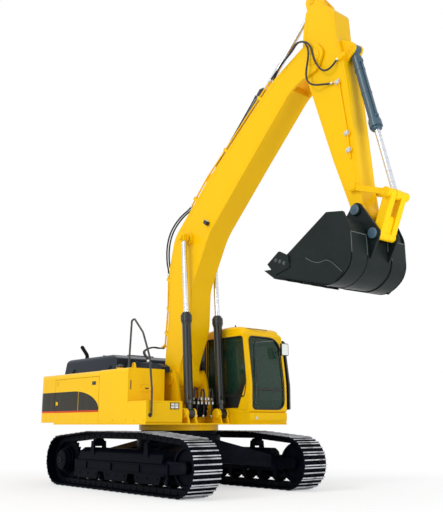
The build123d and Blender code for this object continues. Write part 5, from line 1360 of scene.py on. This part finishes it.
class BucketTrim(bpy.types.Operator):
    """Adds wear straps, tooth points and adapters, cutter bolts, pin caps and welds to the bucket"""
    bl_idname = "excavator.bucket_trim"
    bl_label = "Bucket trim"

    def execute(self, context):
        self.straps()
        teeth = Shape()
        for k in range(5):
            y = -BUCKET_HALF + 0.038 + k * 0.305
            outline = ((1.5, 0.46), (1.74, 0.265), (1.892, 0.0), (1.65, 0.13), (1.49, 0.34))
            teeth.prism([on_bucket(u, v, y) for u, v in outline], (0, 0.104, 0), 0.008)
        teeth.done("tooth_points", "bucket", "bucket")
        studs, weld, caps = [], Shape(), Shape()
        for out in (-Y, Y):
            studs += [(on_bucket(u, v) + out * 0.73, out) for u, v in CUTTER_BOLTS]
            for radius, line in SIDE_WELDS:
                weld.tube(smoothed([on_bucket(u, v) + out * 0.7125 for u, v in line]), radius, 6)
            for pin in ((0, 0), LINK_PIN):
                caps.lathe(on_bucket(*pin) + out * 0.292, out,
                           [(0, 0.088), (0.01, 0.086), (0.014, 0.07), (0.014, 0.03), (0.02, 0.026)], 28)
        for y in (-0.205, 0.205):
            line = ((0.1, 0.1), (-0.005, 0.3), (-0.04, 0.5), (0.05, 0.7))
            weld.tube(smoothed([on_bucket(u, v, y) for u, v in line]), 0.007, 6)
        # Cutter bolts and welds in the light finish: rubbed paint, and a painted highlight on the welds
        bolts("cutter_bolts", studs, "bucket", "rubbed", 0.024, 0.018)
        weld.done("bucket_welds", "rubbed", "bucket")
        caps.done("bucket_pin_caps", "blue_black", "bucket", "bucket_steel")
        return {"FINISHED"}

    def straps(self):
        """Wear plates that follow the shell's own arcs, welds round them with a painted highlight, and seams
        beside them.
        """
        back = arc((-0.004, 0.348), (-0.025, 0.47), (0.023, 0.584))[4:]
        back += arc((0.121, 0.814), (0.2, 1.0), (0.398, 1.039))
        back += arc((0.454, 1.05), (0.66, 1.09), (0.823, 0.958)) + [Vector((1.42, 0.477))]
        steps = [(second - first).normalized() for first, second in zip(back, back[1:])]
        ways = [(a + b).normalized() for a, b in zip(steps[:1] + steps, steps + steps[-1:])]

        def lifted(k, y, lift):
            u, v = back[k] + Vector((-ways[k].y, ways[k].x)) * lift
            return on_bucket(u, v, y)

        straps, welds, seams = Shape(), Shape(), Shape()
        turn_point = next(k for k, point in enumerate(back) if point.y > 0.81)
        for near, far in ((-0.685, -0.31), (0.31, 0.685)):
            section = ((near, -0.004), (near, 0.009), (far, 0.009), (far, -0.004))
            straps.skin([[lifted(k, y, lift) for y, lift in section] for k in range(len(back))])
            for y in (near, far):
                # Light welds along the straps' upper edges: a painted highlight on those edges
                welds.tube([lifted(k, y, 0.008) for k in range(turn_point + 1)], 0.008, 6)
                seams.tube([lifted(k, y, 0.006) for k in range(turn_point, len(back))], 0.009, 6)
            welds.tube([lifted(0, near, 0.008), lifted(0, far, 0.008)], 0.009, 6)
        welds.done("strap_welds", "rubbed", "bucket")
        seams.done("strap_seams", "cast", "bucket", "bucket_steel")
        straps.done("bucket_wear_straps", "bucket", "bucket")


CAMERA_PLACE, CAMERA_YAW, CAMERA_PITCH = (12.14, -9.25, 1.21), math.radians(40.55), math.radians(12.96)
# Soft lamps: name, place, target, width and height, power
LAMPS = (("strip_left", (3.5, -9, 4.5), (0.5, 0, 2.5), (1.2, 7), 140),
         ("strip_front", (11, 0, 3.5), (1, -0.3, 2.2), (2.5, 6), 230),
         ("top_soft", (1, -1, 13), (1, 0, 3), (8, 8), 160))


class Stage(bpy.types.Operator):
    """Sets the pale floor, the studio's lights and the photograph's camera"""
    bl_idname = "excavator.stage"
    bl_label = "Stage"

    def execute(self, context):
        stage = context.scene.excavator_stage
        self.world(stage.ambient)
        self.floor()
        self.lamps(stage.key)
        self.camera(stage.lens)
        context.scene.view_settings.view_transform = "Standard"
        return {"FINISHED"}

    def emptied(self, owner):
        owner.use_nodes = True
        owner.node_tree.nodes.clear()
        return Graph(owner.node_tree)

    def aimed(self, name, data, way, place=(0, 0, 0)):
        """An object whose -Z looks against the way."""
        thing = placed(name, data)
        thing.location = place
        thing.rotation_euler = Vector(way).to_track_quat("Z", "Y").to_euler()
        return thing

    def world(self, strength):
        world = bpy.context.scene.world = bpy.data.worlds.new("studio")
        graph = self.emptied(world)
        path = graph.node("LightPath").outputs
        plain = graph.node("Background", {0: (0.97, 0.985, 1.0), 1: strength})
        white = graph.node("Background", {0: (1, 1, 1), 1: 1.0})
        seen = graph.node("Math", {0: path["Is Camera Ray"], 1: path["Is Transmission Ray"]},
                          operation="MAXIMUM")
        both = graph.node("Math", {0: seen, 1: path["Is Glossy Ray"]}, operation="MAXIMUM")
        graph.node("OutputWorld", {0: graph.node("MixShader", {0: both, 1: plain, 2: white})})

    def floor(self):
        mesh = bpy.data.meshes.new("studio_floor")
        r = 60
        mesh.from_pydata([(-r, -r, 0), (r, -r, 0), (r, r, 0), (-r, r, 0)], [], [(0, 1, 2, 3)])
        material = bpy.data.materials.new("studio_floor")
        graph = self.emptied(material)
        diffuse = graph.node("BsdfDiffuse", {0: (0.93, 0.93, 0.93)})
        distance = graph.node("VectorMath", {0: graph.node("TexCoord").outputs["Object"]}, operation="LENGTH")
        fade = graph.node("MapRange", {0: distance.outputs["Value"], "From Min": 3.0, "From Max": 8.0,
                                       "To Min": 0.55, "To Max": 1.0})
        path = graph.node("LightPath").outputs
        seen = graph.node("Math", {0: path["Is Camera Ray"], 1: path["Is Glossy Ray"]}, operation="MAXIMUM")
        amount = graph.node("Math", {0: fade, 1: seen}, operation="MULTIPLY")
        mix = graph.node("MixShader", {0: amount, 1: diffuse, 2: graph.node("Emission")})
        graph.node("OutputMaterial", {0: mix})
        mesh.materials.append(material)
        floor = placed("studio_floor", mesh)

    def lamps(self, key):
        sun = bpy.data.lights.new("key_sun", "SUN")
        sun.energy, sun.angle, sun.color = key, math.radians(18), (1.0, 0.985, 0.96)
        self.aimed("key_sun", sun, (-0.12, -0.8, 0.58))
        for name, place, target, size, power in LAMPS:
            area = bpy.data.lights.new(name, "AREA")
            area.shape = "RECTANGLE"
            (area.size, area.size_y), area.energy = size, power
            self.aimed(name, area, Vector(place) - Vector(target), place)

    def camera(self, lens):
        data = bpy.data.cameras.new("photo_camera")
        data.lens, data.sensor_width, data.clip_end = lens, 36, 300
        level = math.cos(CAMERA_PITCH)
        way = (math.cos(CAMERA_YAW) * level, -math.sin(CAMERA_YAW) * level, -math.sin(CAMERA_PITCH))
        bpy.context.scene.camera = self.aimed("photo_camera", data, way, CAMERA_PLACE)


class DressingPanel(bpy.types.Panel):
    """Lists the steps and the sizes and colours behind them"""
    bl_idname = "VIEW3D_PT_excavator_dressing"
    bl_label = "Excavator"
    bl_space_type = "VIEW_3D"
    bl_region_type = "UI"
    bl_category = "Excavator"

    def draw(self, context):
        for step in STEPS:
            self.layout.operator(step.bl_idname)
        for group in (getattr(context.scene, name) for name in GROUPS):
            box = self.layout.box()
            for name in group.__annotations__:
                box.prop(group, name)


GROUPS = {"excavator_paint": PaintSettings, "excavator_hardware": HardwareSettings,
          "excavator_stage": StageSettings}
STEPS = (DressNodes, TrackHardware, TurntableTrim, BodyPanels, CabTrim, CabInterior, BoomAndArmTrim,
         CylinderTrim, Hoses, BucketTrim, Stage)
CLASSES = (*GROUPS.values(), *STEPS, DressingPanel)


def register():
    for kind in CLASSES:
        bpy.utils.register_class(kind)
    for name, kind in GROUPS.items():
        setattr(bpy.types.Scene, name, PointerProperty(type=kind))


def unregister():
    for name in GROUPS:
        delattr(bpy.types.Scene, name)
    for kind in reversed(CLASSES):
        bpy.utils.unregister_class(kind)


def main():
    register()
    for step in STEPS:
        family, name = step.bl_idname.split(".")
        getattr(getattr(bpy.ops, family), name)()


if __name__ == "__main__":
    main()
